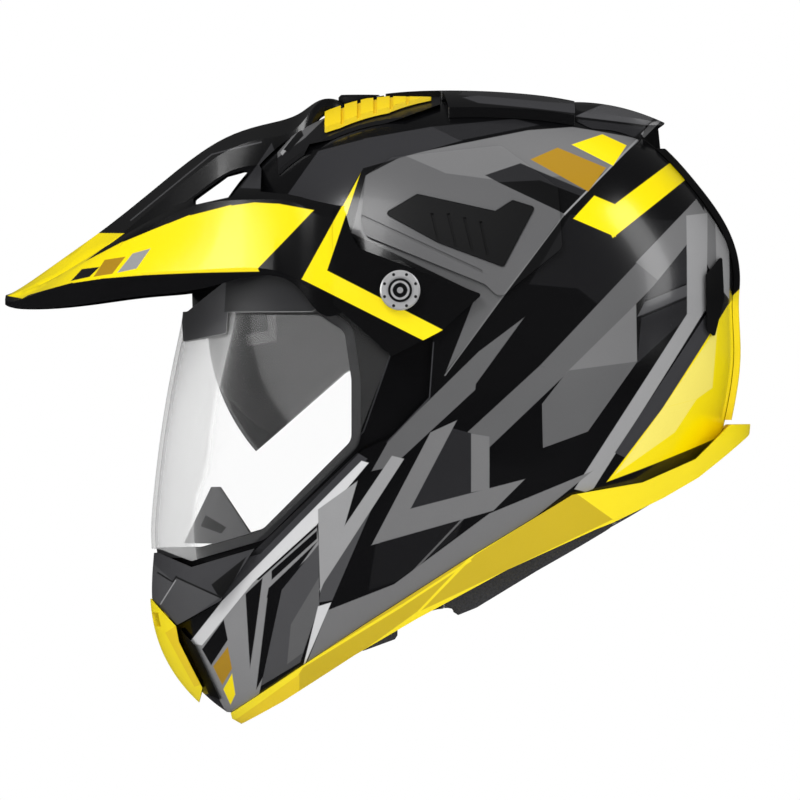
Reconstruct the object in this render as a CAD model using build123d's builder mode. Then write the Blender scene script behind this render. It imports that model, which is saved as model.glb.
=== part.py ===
from build123d import *
from math import cos, hypot, radians, sin
import os

os.makedirs("parts", exist_ok=True)

# Dual sport helmet in its worn attitude. Front is -X, up is +Z, the wearer's left is -Y.
# The origin is the middle of the neck opening. All sizes are in millimetres.

# Driving sizes
shell_length = 327.0
half_width = 124.0
wall = 4.0
seat = 0.3
lining_room = 34.0
head_half_width = half_width - lining_room
comfort_depth = 10.0
overrun = 400.0
whole_turn = 360.0

# The side drawing is set out on a square grid, X to the rear and Y down, of which the
# shell's length takes grid_share steps. Tables whose names end in _shares are in its steps.
grid_share = 589
origin_share = (470, 600)
step = shell_length / grid_share

# Outer shell: side outline, the fullness of its cross-sections, and the pole they shrink to
shell_shares = [
    (733, 290), (723, 234), (692, 188), (648, 143), (590, 115), (520, 103), (440, 100),
    (365, 107), (300, 132), (247, 173), (214, 222), (198, 262), (190, 300), (181, 350),
    (172, 420), (166, 490), (162, 550), (160, 600), (170, 645), (200, 690), (250, 725),
    (340, 745), (450, 735), (560, 690), (650, 600), (703, 500), (724, 424), (734, 350),
]
shell_fullness_shares = [
    2.5, 2.5, 2.5, 2.5, 2.5, 2.5, 2.5, 2.5, 2.45, 2.35, 2.3, 2.25, 2.2, 2.1,
    2.0, 1.95, 1.95, 1.9, 1.9, 1.9, 1.95, 2.0, 2.1, 2.2, 2.3, 2.3, 2.4, 2.5,
]
shell_pole_share = (450, 400)

# Trim: the shell's outline with a flared lip at the nape
trim_shares = (
    shell_shares[:24] + [(652, 606), (716, 500), (746, 436), (736, 350)]
)

# Head cavity
head_shares = [
    (676, 300), (668, 250), (640, 205), (590, 178), (520, 164), (440, 162), (370, 174),
    (322, 204), (292, 250), (280, 310), (268, 400), (250, 480), (232, 560), (228, 620),
    (245, 690), (300, 760), (400, 800), (500, 770), (590, 680), (640, 590), (664, 500),
    (674, 400),
]
head_fullness_shares = [2.2] * len(head_shares)
head_pole_share = (455, 380)

# Face shield: a bubble drawn round its own hinge line
shield_pivot_share = (400, 292)
shield_inset = 3.7
shield_half_width = half_width - shield_inset
shield_thickness = 2.2
shield_keepout = 3.0
shield_shares = [
    (185, 325), (170, 400), (157, 500), (155, 537), (172, 620), (205, 690), (270, 740),
    (370, 765), (480, 750), (590, 700), (690, 600), (760, 450), (770, 330), (730, 210),
    (650, 130), (540, 90), (450, 80), (381, 78), (309, 97), (248, 140), (205, 201),
    (186, 266),
]
shield_fullness_shares = [
    2.15, 2.1, 2.05, 2.05, 2.0, 2.0, 2.0, 2.0, 2.1, 2.2, 2.2, 2.2, 2.2, 2.2,
    2.2, 2.2, 2.2, 2.2, 2.2, 2.2, 2.2, 2.2,
]

# Side stations of every double-curved form, as shares of its half width
slice_shares = [0.0, 0.18, 0.36, 0.54, 0.7, 0.82, 0.9, 0.955, 0.985]


def side(point):
    """Place of a side-drawing grid point, as (x, z) in millimetres."""
    return ((point[0] - origin_share[0]) * step, (origin_share[1] - point[1]) * step)


def rim(shares, gap):
    """Side outline moved outwards, square to itself, by gap."""
    points = [side(point) for point in shares]
    count = len(points)
    turned = sum(
        points[i - 1][0] * points[i][1] - points[i][0] * points[i - 1][1]
        for i in range(count)
    )
    hand = 1 if turned > 0 else -1
    moved = []
    for i, (x, z) in enumerate(points):
        ahead = points[(i + 1) % count]
        run, rise = ahead[0] - points[i - 1][0], ahead[1] - points[i - 1][1]
        reach = hypot(run, rise)
        moved.append((x + hand * gap * rise / reach, z - hand * gap * run / reach))
    return moved


def bean(shares, fullness, pole, half, gap):
    """Double-curved helmet form: its side outline shrinks towards a pole at each side."""
    outline = rim(shares, gap)
    plain = rim(shares, 0)
    reach = [0]
    for i, here in enumerate(plain):
        ahead = plain[(i + 1) % len(plain)]
        reach.append(reach[-1] + hypot(ahead[0] - here[0], ahead[1] - here[1]))
    knots = [distance / reach[-1] for distance in reach]
    centre = side(pole)
    stations = [-share for share in reversed(slice_shares[1:])] + slice_shares
    with BuildPart() as form:
        for share in stations:
            ring = []
            for (x, z), power in zip(outline, fullness):
                shrink = (1 - abs(share) ** power) ** (1 / power)
                ring.append((
                    centre[0] + (x - centre[0]) * shrink,
                    centre[1] + (z - centre[1]) * shrink,
                ))
            with BuildSketch(Plane.XZ.offset(-(half + gap) * share)):
                with BuildLine():
                    add(Edge.make_spline([(x, z, 0) for x, z in ring], periodic=True, parameters=knots))
                make_face()
        loft()
    return form.part


forms = {}


def hull(kind, gap):
    """The shell, trim, head or shield form, gap outside its own surface (inside if negative)."""
    key = (kind, round(gap, 4))
    if key not in forms:
        table = {
            "shell": (shell_shares, shell_fullness_shares, shell_pole_share, half_width),
            "trim": (trim_shares, shell_fullness_shares, shell_pole_share, half_width),
            "head": (head_shares, head_fullness_shares, head_pole_share, head_half_width),
            "shield": (shield_shares, shield_fullness_shares, shield_pivot_share, shield_half_width),
        }[kind]
        forms[key] = bean(*table, gap)
    return forms[key]


def prism(shares, near, far, corner=0.0, grow=0.0):
    """Side-view outline made solid from Y = near to Y = far."""
    points = [side(point) for point in shares]
    with BuildPart() as solid:
        with BuildSketch(Plane.XZ.offset(-far)):
            with BuildLine():
                if corner:
                    FilletPolyline(*points, radius=corner, close=True)
                else:
                    Polyline(*points, close=True)
            make_face()
            if grow:
                offset(amount=grow)
        extrude(amount=far - near)
    return solid.part


def through(shares, corner=0.0, grow=0.0):
    """Side-view outline made solid across the whole helmet."""
    return prism(shares, -overrun, overrun, corner, grow)


def plan(points, low, high, corner=0.0):
    """Top-view outline, (x, y) in millimetres, made solid from Z = low to Z = high."""
    with BuildPart() as solid:
        with BuildSketch(Plane.XY.offset(low)):
            with BuildLine():
                if corner:
                    FilletPolyline(*points, radius=corner, close=True)
                else:
                    Polyline(*points, close=True)
            make_face()
        extrude(amount=high - low)
    return solid.part


def disc(share, radius, near, far):
    """Round solid along Y, centred on a side-drawing point."""
    with BuildPart() as solid:
        with BuildSketch(Plane.XZ.offset(-far)):
            with Locations(side(share)):
                Circle(radius)
        extrude(amount=far - near)
    return solid.part


def mirrored(shape):
    """The same shape on the other side of the helmet."""
    return mirror(shape, about=Plane.XZ)


def both(shape):
    """A shape and its mirror image across the helmet's middle."""
    return shape + mirrored(shape)


def top_view(shares):
    """Top-view outline of half widths in grid steps, mirrored to both sides, in millimetres."""
    half = [(side((x, 0))[0], y * step) for x, y in shares]
    return half + [(x, -y) for x, y in reversed(half)]


def write(piece, name):
    """Label a finished piece and write its STEP file."""
    piece.part.label = name
    export_step(piece.part, f"parts/{name}.step")


# Shell bottom edge (the trim's seat), from the chin to the nape, and the trim's lower edge
base_shares = [
    (231, 712), (303, 663), (364, 622), (460, 560), (570, 493), (640, 481), (693, 458),
    (728, 424),
]
trim_edge_shares = [
    (234, 728), (283, 700), (356, 652), (417, 616), (505, 568), (593, 528), (611, 521),
    (661, 497), (696, 477), (719, 459), (746, 437),
]
below_shares = [(1000, 424), (1000, 1000), (-100, 1000), (-100, 712)]
port_shares = [
    (100, 322), (206, 322), (240, 314), (318, 314), (345, 332), (352, 380), (352, 440),
    (262, 530), (200, 548), (100, 548),
]
keepout_shares = [
    (60, 200), (200, 200), (345, 216), (352, 240), (360, 251), (440, 285), (448, 300),
    (432, 340), (428, 397), (391, 437), (362, 450), (262, 552), (193, 572), (60, 565),
]


def shell_form(gap, grow=0.0):
    """The shell's outer surface moved by gap, with the bay that the shield swings in."""
    bay = through(keepout_shares, grow=grow) - hull("shield", gap - shield_keepout)
    return hull("shell", gap) - bay


def below(rise=0.0):
    """Everything under the shell's bottom edge, raised by rise."""
    lifted = [(x, z - rise / step) for x, z in base_shares]
    return through(lifted + below_shares)


# Shell: one open moulding of even wall, with the eye port and the air inlets cut through
chin_inlet_shares = [(100, 606), (240, 606), (240, 636), (100, 636)]
inlet_half_width = 24.0
crown_inlet_shares = [(352, 60), (398, 60), (398, 160), (352, 160)]
crown_inlet_near = 32.0
crown_inlet_far = 44.0
port_corner = 8.0
crest_screw_share = (360, 0)
crest_screw_hole = 2.4
strap_rivet_share = (425, 518)
strap_rivet_shank = 2.6
rivet_bore = disc(strap_rivet_share, strap_rivet_shank + seat, 0, half_width)
with BuildPart() as crest_bore:
    with BuildSketch():
        with Locations((side(crest_screw_share)[0], 0)):
            Circle(crest_screw_hole)
    extrude(amount=overrun)

with BuildPart() as shell:
    add(shell_form(0))
    add(shell_form(-wall, wall), mode=Mode.SUBTRACT)
    add(through(port_shares, port_corner), mode=Mode.SUBTRACT)
    add(below(), mode=Mode.SUBTRACT)
    add(prism(chin_inlet_shares, -inlet_half_width, inlet_half_width), mode=Mode.SUBTRACT)
    add(both(prism(crown_inlet_shares, crown_inlet_near, crown_inlet_far)), mode=Mode.SUBTRACT)
    add(crest_bore.part, mode=Mode.SUBTRACT)
write(shell, "shell")

# Sun visor: a turned surface, so that it slides past itself into its pocket
visor_pivot_share = (405, 322)
visor_radius = 109.6
visor_inset = 20.0
visor_half_width = half_width - visor_inset
visor_thickness = 2.0
visor_fullness_share = 2.15
visor_clear = 1.0
visor_pin_radius = 4.0
visor_pin_clear = 0.4
visor_flange_radius = 8.0
visor_pin_depth = 3.5
visor_step_shares = (90, 75, 60, 45, 30, 18, 9, 3)
visor_shares = [
    (60, 285), (330, 285), (400, 306), (420, 312), (420, 334), (404, 341), (345, 373),
    (254, 453), (60, 623),
]
pocket_shares = [
    (60, 100), (285, 100), (395, 230), (432, 296), (432, 350), (352, 388), (300, 345), (60, 345),
]


def superellipse(radius, half):
    """Half outline of the visor's turned form, as (radius, y) from one end to the other."""
    power = 2 / visor_fullness_share
    quarter = [
        (radius * cos(radians(turn)) ** power, half * sin(radians(turn)) ** power)
        for turn in visor_step_shares[1:]
    ]
    rise = [(0, half)] + quarter
    return rise + [(radius, 0)] + [(r, -y) for r, y in reversed(rise)]


def turned(radius, half, depth):
    """Turned shell of the given depth round the visor's hinge line."""
    x, z = side(visor_pivot_share)
    outer = superellipse(radius, half)
    inner = superellipse(radius - depth, half - depth)
    with BuildPart() as form:
        with BuildSketch(Plane(origin=(x, 0, z), x_dir=(-1, 0, 0), z_dir=(0, 0, -1))):
            with BuildLine():
                Spline(*outer)
                Line(outer[-1], inner[-1])
                Spline(*reversed(inner))
                Line(inner[0], outer[0])
            make_face()
        revolve(axis=Axis((x, 0, z), (0, 1, 0)), revolution_arc=whole_turn)
    return form.part


with BuildPart() as sun_visor:
    add(turned(visor_radius, visor_half_width, visor_thickness))
    add(through(visor_shares), mode=Mode.INTERSECT)
    add(
        disc(visor_pivot_share, visor_pin_radius + visor_pin_clear, -half_width, half_width),
        mode=Mode.SUBTRACT,
    )
write(sun_visor, "sun_visor")

pin_start = visor_half_width - visor_thickness
pin_end = visor_half_width + visor_clear + visor_pin_depth
with BuildPart() as visor_pivots:
    add(both(disc(visor_pivot_share, visor_pin_radius, pin_start, pin_end)))
    add(both(disc(visor_pivot_share, visor_flange_radius, visor_half_width + visor_clear, pin_end)))
write(visor_pivots, "visor_pivots")
pivot_seat = disc(
    visor_pivot_share, visor_flange_radius + seat, pin_start - seat, pin_end + seat
)
visor_pocket = turned(
    visor_radius + visor_clear, visor_half_width + visor_clear, visor_thickness + 2 * visor_clear
)
visor_pocket &= through(pocket_shares)

# Impact liner and the separate chin liner
chin_split_shares = [(60, 520), (262, 522), (305, 575), (305, 900), (60, 900)]
liner_rise = 6.0
with BuildPart() as liner_form:
    add(shell_form(-wall - seat, wall + seat))
    add(hull("head", 0), mode=Mode.SUBTRACT)
    add(through(port_shares, port_corner, seat), mode=Mode.SUBTRACT)
    add(below(liner_rise), mode=Mode.SUBTRACT)

with BuildPart() as eps_liner:
    add(liner_form.part)
    add(through(chin_split_shares, grow=seat), mode=Mode.SUBTRACT)
    add(visor_pocket, mode=Mode.SUBTRACT)
    add(both(pivot_seat), mode=Mode.SUBTRACT)
    add(both(rivet_bore), mode=Mode.SUBTRACT)
write(eps_liner, "eps_liner")

shutter_depth = 2.0
shutter_pocket_depth = 6.0
shutter_half_width = 20.0
shutter_shares = [(60, 602), (205, 602), (205, 628), (60, 628)]
shutter_room_shares = [(60, 598), (215, 598), (215, 654), (60, 654)]
shutter_room_side = shutter_half_width + 2 * seat
with BuildPart() as shutter_room:
    add(prism(shutter_room_shares, -shutter_room_side, shutter_room_side))
    add(hull("shell", -wall - shutter_pocket_depth), mode=Mode.SUBTRACT)

with BuildPart() as chin_liner:
    add(liner_form.part)
    add(through(chin_split_shares), mode=Mode.INTERSECT)
    add(shutter_room.part, mode=Mode.SUBTRACT)
write(chin_liner, "chin_liner")

with BuildPart() as chin_vent_shutter:
    add(prism(shutter_shares, -shutter_half_width, shutter_half_width))
    add(hull("shell", -wall - 2 * seat), mode=Mode.INTERSECT)
    add(hull("shell", -wall - 2 * seat - shutter_depth), mode=Mode.SUBTRACT)
write(chin_vent_shutter, "chin_vent_shutter")

# Comfort lining: crown pad, cheek pads and neck roll
crown_pad_shares = [
    (318, 330), (318, 60), (780, 60), (780, 400), (560, 360), (420, 250), (360, 300),
]
with BuildPart() as crown_pad:
    add(hull("head", -seat))
    add(hull("head", -comfort_depth), mode=Mode.SUBTRACT)
    add(through(crown_pad_shares, port_corner), mode=Mode.INTERSECT)
write(crown_pad, "crown_pad")

cheek_shares = [
    (364, 395), (385, 372), (470, 366), (515, 410), (535, 470), (505, 530), (420, 564),
    (330, 632), (286, 650), (262, 600), (270, 540), (364, 455),
]
cheek_depth = 33.0
cheek_inner = head_half_width - cheek_depth
cheek_corner = 9.0
strap_inset = 9.0
strap_side = head_half_width - strap_inset
strap_thickness = 2.0
strap_room = 3.0
strap_channel_shares = [(398, 480), (452, 480), (452, 700), (398, 700)]
strap_channel = prism(strap_channel_shares, 0, strap_side + strap_thickness / 2 + strap_room)
with BuildPart() as cheek_pad_right:
    add(prism(cheek_shares, cheek_inner, overrun, cheek_corner))
    add(hull("head", -seat), mode=Mode.INTERSECT)
    add(
        prism(strap_channel_shares, strap_side - strap_thickness / 2 - strap_room, overrun),
        mode=Mode.SUBTRACT,
    )
write(cheek_pad_right, "cheek_pad_right")
with BuildPart() as cheek_pad_left:
    add(mirrored(cheek_pad_right.part))
write(cheek_pad_left, "cheek_pad_left")

# Sun visor slider, recessed in the lower face of the left trim
slot_ends_share = [(425, 611.6), (495, 573.5)]
slot_insets = (32.0, 23.8)
slot_length = 36.0
slot_width = 6.0
slot_depth = 5.0
thumb_length = 14.0
thumb_height = 4.0
thumb_clear = 0.4
thumb_ridge = 1.2
thumb_pitch = 3.6
thumb_ridges = 3
slot_a, slot_b = [
    Vector(side(share)[0], inset - half_width, side(share)[1])
    for share, inset in zip(slot_ends_share, slot_insets)
]
slot_run = (slot_b - slot_a).normalized()
slot_down = (slot_run * slot_run.Z - Vector(0, 0, 1)).normalized()
slot_plane = Plane(origin=(slot_a + slot_b) / 2, x_dir=slot_run, z_dir=slot_down)
thumb_start = thumb_length / 2 - slot_length / 2 + 2 * thumb_clear
with BuildPart() as visor_slot:
    with BuildSketch(slot_plane.offset(slot_length)):
        Rectangle(slot_length, slot_width)
    extrude(amount=-slot_depth - slot_length)
with BuildPart() as slot_room:
    with BuildSketch(slot_plane.offset(slot_length)):
        Rectangle(slot_length + 2 * seat, slot_width + 2 * seat)
    extrude(amount=-slot_depth - slot_length - seat)

with BuildPart() as visor_slider:
    with BuildSketch(slot_plane.offset(-slot_depth + thumb_clear)):
        with Locations((thumb_start, 0)):
            Rectangle(thumb_length, slot_width - 2 * thumb_clear)
    extrude(amount=thumb_height)
    with BuildSketch(slot_plane.offset(-slot_depth + thumb_clear + thumb_height)):
        with Locations((thumb_start, 0)):
            with GridLocations(thumb_pitch, 0, thumb_ridges, 1):
                Rectangle(thumb_ridge, slot_width)
    extrude(amount=-thumb_ridge, mode=Mode.SUBTRACT)
write(visor_slider, "visor_slider")

# Neck roll: inside the head cavity beside the liner, and out under the liner's lower edge
neck_shares = [
    (359, 651), (432, 624), (476, 606), (535, 570), (579, 545), (623, 519), (661, 497),
    (704, 466), (704, 440), (640, 470), (570, 482), (460, 549), (352, 622),
]
neck_outer_gap = 11.0
neck_inner_gap = 14.0
with BuildPart() as liner_zone:
    add(hull("shell", 0))
    add(hull("head", -seat), mode=Mode.SUBTRACT)
    add(below(liner_rise - seat), mode=Mode.SUBTRACT)

with BuildPart() as neck_roll:
    add(hull("shell", -neck_outer_gap))
    add(hull("head", -neck_inner_gap), mode=Mode.SUBTRACT)
    add(through(neck_shares), mode=Mode.INTERSECT)
    add(liner_zone.part, mode=Mode.SUBTRACT)
    add(
        both(prism(cheek_shares, cheek_inner, overrun, cheek_corner, seat) & hull("head", 0)),
        mode=Mode.SUBTRACT,
    )
    add(both(strap_channel), mode=Mode.SUBTRACT)
    add(slot_room.part, mode=Mode.SUBTRACT)
write(neck_roll, "neck_roll")

# Edge trim round the whole opening, flared at the nape
trim_stand = 1.6
trim_inner_gap = 10.0
trim_band_shares = [(760, 424)] + list(reversed(trim_edge_shares))
trim_band = [(x, z + seat / step) for x, z in base_shares] + trim_band_shares
with BuildPart() as base_trim:
    add(hull("trim", trim_stand))
    add(hull("shell", -trim_inner_gap), mode=Mode.SUBTRACT)
    add(through(trim_band), mode=Mode.INTERSECT)
    add(visor_slot.part, mode=Mode.SUBTRACT)
write(base_trim, "base_trim")

# Eye port gasket, filling the space between the shell and the shield
gasket_reach = 5.0
gasket_clear = 0.5
with BuildPart() as eyeport_gasket:
    add(through(port_shares, port_corner, gasket_reach))
    add(through(port_shares, port_corner), mode=Mode.SUBTRACT)
    add(hull("shield", -gasket_clear), mode=Mode.INTERSECT)
    add(shell_form(seat, -seat), mode=Mode.SUBTRACT)
write(eyeport_gasket, "eyeport_gasket")

# Face shield and the ear discs that it turns on
shield_edge_shares = [
    (60, 312), (188, 312), (230, 280), (300, 262), (400, 262), (426, 280),
    (426, 306), (396, 340), (388, 362), (362, 428), (356, 447), (256, 541), (193, 560),
    (162, 549), (60, 545),
]
shield_corner = 3.0
shield_hole_radius = 8.0
shield_bore = disc(shield_pivot_share, shield_hole_radius, -overrun, overrun)
with BuildPart() as shield:
    add(hull("shield", shield_thickness))
    add(hull("shield", 0), mode=Mode.SUBTRACT)
    add(through(shield_edge_shares, shield_corner), mode=Mode.INTERSECT)
    add(shield_bore, mode=Mode.SUBTRACT)
write(shield, "shield")

arm_clear = 1.1
arm_inner = shield_half_width + shield_thickness + arm_clear
shield_base_radius = 15.0
shield_boss_radius = 7.6
shield_boss_gap = 0.7
shield_base_gap = 0.9
screw_hole_radius = 3.6
with BuildPart() as shield_base_right:
    add(disc(shield_pivot_share, shield_base_radius, head_half_width, half_width))
    add(hull("shield", -shield_base_gap), mode=Mode.INTERSECT)
    add(disc(shield_pivot_share, shield_boss_radius, head_half_width, arm_inner - shield_boss_gap))
    add(disc(shield_pivot_share, screw_hole_radius, head_half_width, overrun), mode=Mode.SUBTRACT)
    add(shell_form(seat), mode=Mode.SUBTRACT)
write(shield_base_right, "shield_base_right")
with BuildPart() as shield_base_left:
    add(mirrored(shield_base_right.part))
write(shield_base_left, "shield_base_left")

# Peak: cross-sections along X. Each row is a station, then the height of the crest, and the
# (half width, height) of the crest's shoulder, the foot of its flank, the wing's inner rim,
# the wing's ridge, the wing's lower edge and the under-lip.
peak_shares = [
    (6, 295, (22, 296), (25, 297), (28, 297), (31, 298), (40, 300), (36, 305)),
    (22, 287, (32, 291), (36, 293), (42, 293), (48, 296), (66, 300), (60, 309)),
    (58, 262, (40, 275), (46, 280), (60, 277), (72, 280), (102, 288), (92, 308)),
    (100, 232, (46, 251), (54, 262), (88, 252), (104, 256), (134, 281), (124, 303)),
    (153, 190, (52, 209), (62, 226), (118, 221), (134, 228), (160, 274), (150, 296)),
    (193, 158, (54, 176), (66, 198), (138, 202), (153, 209), (176, 272), (168, 292)),
    (227, 137, (54, 152), (66, 174), (152, 195), (167, 203), (188, 270), (182, 284)),
    (262, 125, (52, 140), (63, 166), (166, 194), (181, 202), (199, 270), (196, 277)),
    (300, 113, (46, 126), (55, 150), (188, 199), (202, 207), (214, 282), (213, 290)),
    (345, 103, (38, 109), (44, 130), (218, 209), (225.8, 215), (227.4, 262), (226.4, 312)),
]
skin_shares = [(0.6, 1.0), (1.0, 1.0), (0.2, 1.0), (0.8, 1.0), (1.0, 0.3), (1.0, 0.0)]
peak_thickness = 2.6
peak_shell_gap = 1.2
peak_hole_shares = [(178, 211), (227, 176), (256, 168), (233, 199)]
peak_hole_corner = 2.5
arm_outer = arm_inner + peak_thickness
arm_shares = [
    (334, 212), (346, 214), (353, 240), (360, 251), (481, 296), (441, 332), (392, 357),
    (334, 306),
]
arm_heel_shares = [(428, 276), (478, 296), (440, 329), (428, 336)]
arm_corner = 1.2
tongue_shares = [(326, 20), (372, 25), (384, 15)]
tongue_depth = 4.4
tongue_corner = 2.0
brow_rows = peak_shares[-3:]
brow_end_share = 365


def skin(row):
    """Closed cross-section of the peak at one station, as (y, z)."""
    crest = side((row[0], row[1]))[1]
    outer = [(y * step, side((row[0], z))[1]) for y, z in row[2:]]
    inner = [
        (y - peak_thickness * across, z - peak_thickness * down)
        for (y, z), (across, down) in zip(outer, skin_shares)
    ]
    half = [(0, crest)] + outer + list(reversed(inner)) + [(0, crest - peak_thickness)]
    return half + [(-y, z) for y, z in inner] + [(-y, z) for y, z in reversed(outer)]


with BuildPart() as peak_skin:
    for row in peak_shares:
        with BuildSketch(Plane.YZ.offset(side((row[0], 0))[0])):
            with BuildLine():
                Polyline(*skin(row), close=True)
            make_face()
    loft()

# Behind the bill, the crest and the wings part to pass over and beside the shell
brow_share = [(row[0], row[3][0]) for row in brow_rows] + [(brow_end_share, brow_rows[-1][3][0])]
brow_share += [(brow_end_share, brow_rows[-1][4][0])]
brow_share += [(row[0], row[4][0]) for row in reversed(brow_rows)]
brow_web = plan([(side((x, 0))[0], y * step) for x, y in brow_share], 0, overrun)
crest_share = [(row[0], row[3][0]) for row in brow_rows]
crest_room_points = [(x, y + 2 * seat * (1 if y > 0 else -1)) for x, y in top_view(crest_share)]
crest_room = plan(crest_room_points, 0, overrun)

with BuildPart() as arm:
    add(prism(arm_shares, arm_inner, arm_outer, arm_corner))
    add(prism(arm_heel_shares, head_half_width, arm_outer, arm_corner))
    add(shell_form(seat, -seat), mode=Mode.SUBTRACT)
    add(disc(shield_pivot_share, screw_hole_radius + seat, 0, overrun), mode=Mode.SUBTRACT)

# Room for the crest screw's knob, down to the peak's tongue
knob_radius = 12.0
knob_low_share = (0, 120)
knob_low = side(knob_low_share)[1]
crest_x = side(crest_screw_share)[0]
with BuildPart() as knob_room:
    with BuildSketch(Plane.XY.offset(knob_low)):
        with Locations((crest_x, 0)):
            Circle(knob_radius + 2 * seat)
    extrude(amount=overrun)
    add(hull("shell", tongue_depth), mode=Mode.SUBTRACT)

with BuildPart() as peak:
    add(peak_skin.part)
    add(both(brow_web), mode=Mode.SUBTRACT)
    add(through(peak_hole_shares, peak_hole_corner), mode=Mode.SUBTRACT)
    add(plan(top_view(tongue_shares), 0, overrun, tongue_corner) & hull("shell", tongue_depth))
    add(hull("shell", peak_shell_gap), mode=Mode.SUBTRACT)
    add(both(arm.part))
    add(crest_bore.part, mode=Mode.SUBTRACT)
    add(knob_room.part, mode=Mode.SUBTRACT)
write(peak, "peak")

# Quarter-turn side screws
screw_head_radius = 11.0
screw_head_depth = 4.4
screw_ring_radius = 7.4
screw_ring_depth = 1.0
screw_slot = 1.8
screw_slot_length = 9.0
screw_chamfer = 0.8
screw_reach_gap = 1.7
pivot = side(shield_pivot_share)
screw_base = arm_outer + seat
screw_top = Plane.XZ.offset(-screw_base - screw_head_depth)
with BuildPart() as side_screw:
    with BuildSketch(screw_top):
        with Locations(pivot):
            Circle(screw_head_radius)
    extrude(amount=screw_head_depth)
    chamfer(side_screw.faces().sort_by(Axis.Y)[-1].edges(), screw_chamfer)
    with BuildSketch(screw_top):
        with Locations(pivot):
            Circle(screw_ring_radius)
            Circle(screw_ring_radius - screw_slot, mode=Mode.SUBTRACT)
            Rectangle(screw_slot_length, screw_slot)
            Rectangle(screw_slot, screw_slot_length)
    extrude(amount=screw_ring_depth, mode=Mode.SUBTRACT)
    with BuildSketch(Plane.XZ.offset(-screw_base)):
        with Locations(pivot):
            Circle(screw_hole_radius - seat)
    extrude(amount=screw_base - shield_half_width + screw_reach_gap)
with BuildPart() as peak_side_screws:
    add(both(side_screw.part))
write(peak_side_screws, "peak_side_screws")

# Crest screw: a broad low knob on the peak's tongue
knob_top_share = (0, 95)
knob_chamfer = 1.4
crest_shank_radius = 2.0
knob_height = side(knob_top_share)[1] - knob_low
knob_slot = 1.6
with BuildPart() as crest_screw:
    with BuildSketch(Plane.XY.offset(knob_low)):
        with Locations((crest_x, 0)):
            Circle(knob_radius)
    extrude(amount=knob_height)
    chamfer(crest_screw.faces().sort_by(Axis.Z)[-1].edges(), knob_chamfer)
    add(hull("shell", tongue_depth + seat), mode=Mode.SUBTRACT)
    with BuildSketch(Plane.XY.offset(knob_low + knob_height)):
        with Locations((crest_x, 0)):
            Rectangle(knob_radius, knob_slot)
    extrude(amount=-knob_slot / 2, mode=Mode.SUBTRACT)
    with BuildSketch(Plane.XY.offset(knob_low + knob_height - knob_slot)):
        with Locations((crest_x, 0)):
            Circle(crest_shank_radius)
    extrude(amount=-knob_height - wall)
    add(hull("shell", seat - wall), mode=Mode.SUBTRACT)
write(crest_screw, "crest_screw")


def cladding(shares, depth, near, far, corner=0.0, base=seat):
    """Conformal raised piece: the shell's surface from base to depth inside a side outline."""
    return (hull("shell", depth) & prism(shares, near, far, corner)) - hull("shell", base)


# Crown: centre fairing, spoiler, rear ridge, and on each side a vent body and its slider
fairing_depth = 5.2
fairing_shares = [(385.5, 34), (441.5, 38), (448, 108), (574, 100)]
fairing_corner = 1.0
groove_depth = 1.4
groove_shares = [(462, 20), (566, 40), (566, 46), (462, 26)]
with BuildPart() as groove:
    add(both(plan([(side((x, 0))[0], y * step) for x, y in groove_shares], 0, overrun)))
    add(hull("shell", fairing_depth - groove_depth), mode=Mode.SUBTRACT)
with BuildPart() as crown_fairing:
    add(hull("shell", fairing_depth))
    add(plan(top_view(fairing_shares), 0, overrun, fairing_corner), mode=Mode.INTERSECT)
    add(hull("shell", seat), mode=Mode.SUBTRACT)
    add(groove.part, mode=Mode.SUBTRACT)
write(crown_fairing, "crown_fairing")

# Spoiler: cross-sections along X, as a station, the crest's height, and the (half width,
# height) of its shoulder, its side edge and the foot of its side
spoiler_shares = [
    (574.6, 102, (34, 105), (72, 112), (100, 132)),
    (606, 104.5, (29, 107), (62, 116), (86, 134)),
    (640, 113, (22, 114), (46, 120), (60, 150)),
    (664, 122.6, (14, 123), (30, 125), (32, 150)),
]
spoiler_floor_share = 170
spoiler_side_shares = [
    (560, 60), (671, 60), (664, 124.5), (658, 129), (660, 148.6), (560, 148.6),
]
spoiler_duct_shares = [(645, 126), (680, 126), (680, 160), (638, 148)]
spoiler_web = 9.0
with BuildPart() as spoiler_form:
    for station, crest, *edges in spoiler_shares:
        with BuildSketch(Plane.YZ.offset(side((station, 0))[0])):
            with BuildLine():
                right = [(y * step, side((0, z))[1]) for y, z in edges]
                right += [(right[-1][0], side((0, spoiler_floor_share))[1])]
                left = [(-y, z) for y, z in reversed(right)]
                Polyline(*right, *left, (0, side((0, crest))[1]), close=True)
            make_face()
    loft()
with BuildPart() as rear_spoiler:
    add(spoiler_form.part)
    add(through(spoiler_side_shares), mode=Mode.INTERSECT)
    add(hull("shell", seat), mode=Mode.SUBTRACT)
    add(both(prism(spoiler_duct_shares, spoiler_web, overrun)), mode=Mode.SUBTRACT)
write(rear_spoiler, "rear_spoiler")

ridge_shares = [
    (640, 149.2), (690, 149.2), (800, 200), (800, 420), (700, 420), (700, 250), (662, 174),
]
ridge_depth = 3.6
ridge_half_width = 20.0
ridge_slot = 2.6
ridge_slot_pitch = 26.0
ridge_slot_depth = 1.8
ridge_slot_half_width = 12.0
ridge_slots = 4
ridge_slot_share = (0, 250)
ridge_grooves = []
for level in range(ridge_slots):
    low = side(ridge_slot_share)[1] - level * ridge_slot_pitch
    across = [(0, ridge_slot_half_width), (overrun, ridge_slot_half_width)]
    across += [(x, -y) for x, y in reversed(across)]
    ridge_grooves.append(plan(across, low, low + ridge_slot) - hull("shell", ridge_depth - ridge_slot_depth))
with BuildPart() as rear_ridge:
    add(cladding(ridge_shares, ridge_depth, -ridge_half_width, ridge_half_width))
    add(ridge_grooves, mode=Mode.SUBTRACT)
write(rear_ridge, "rear_ridge")

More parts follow.
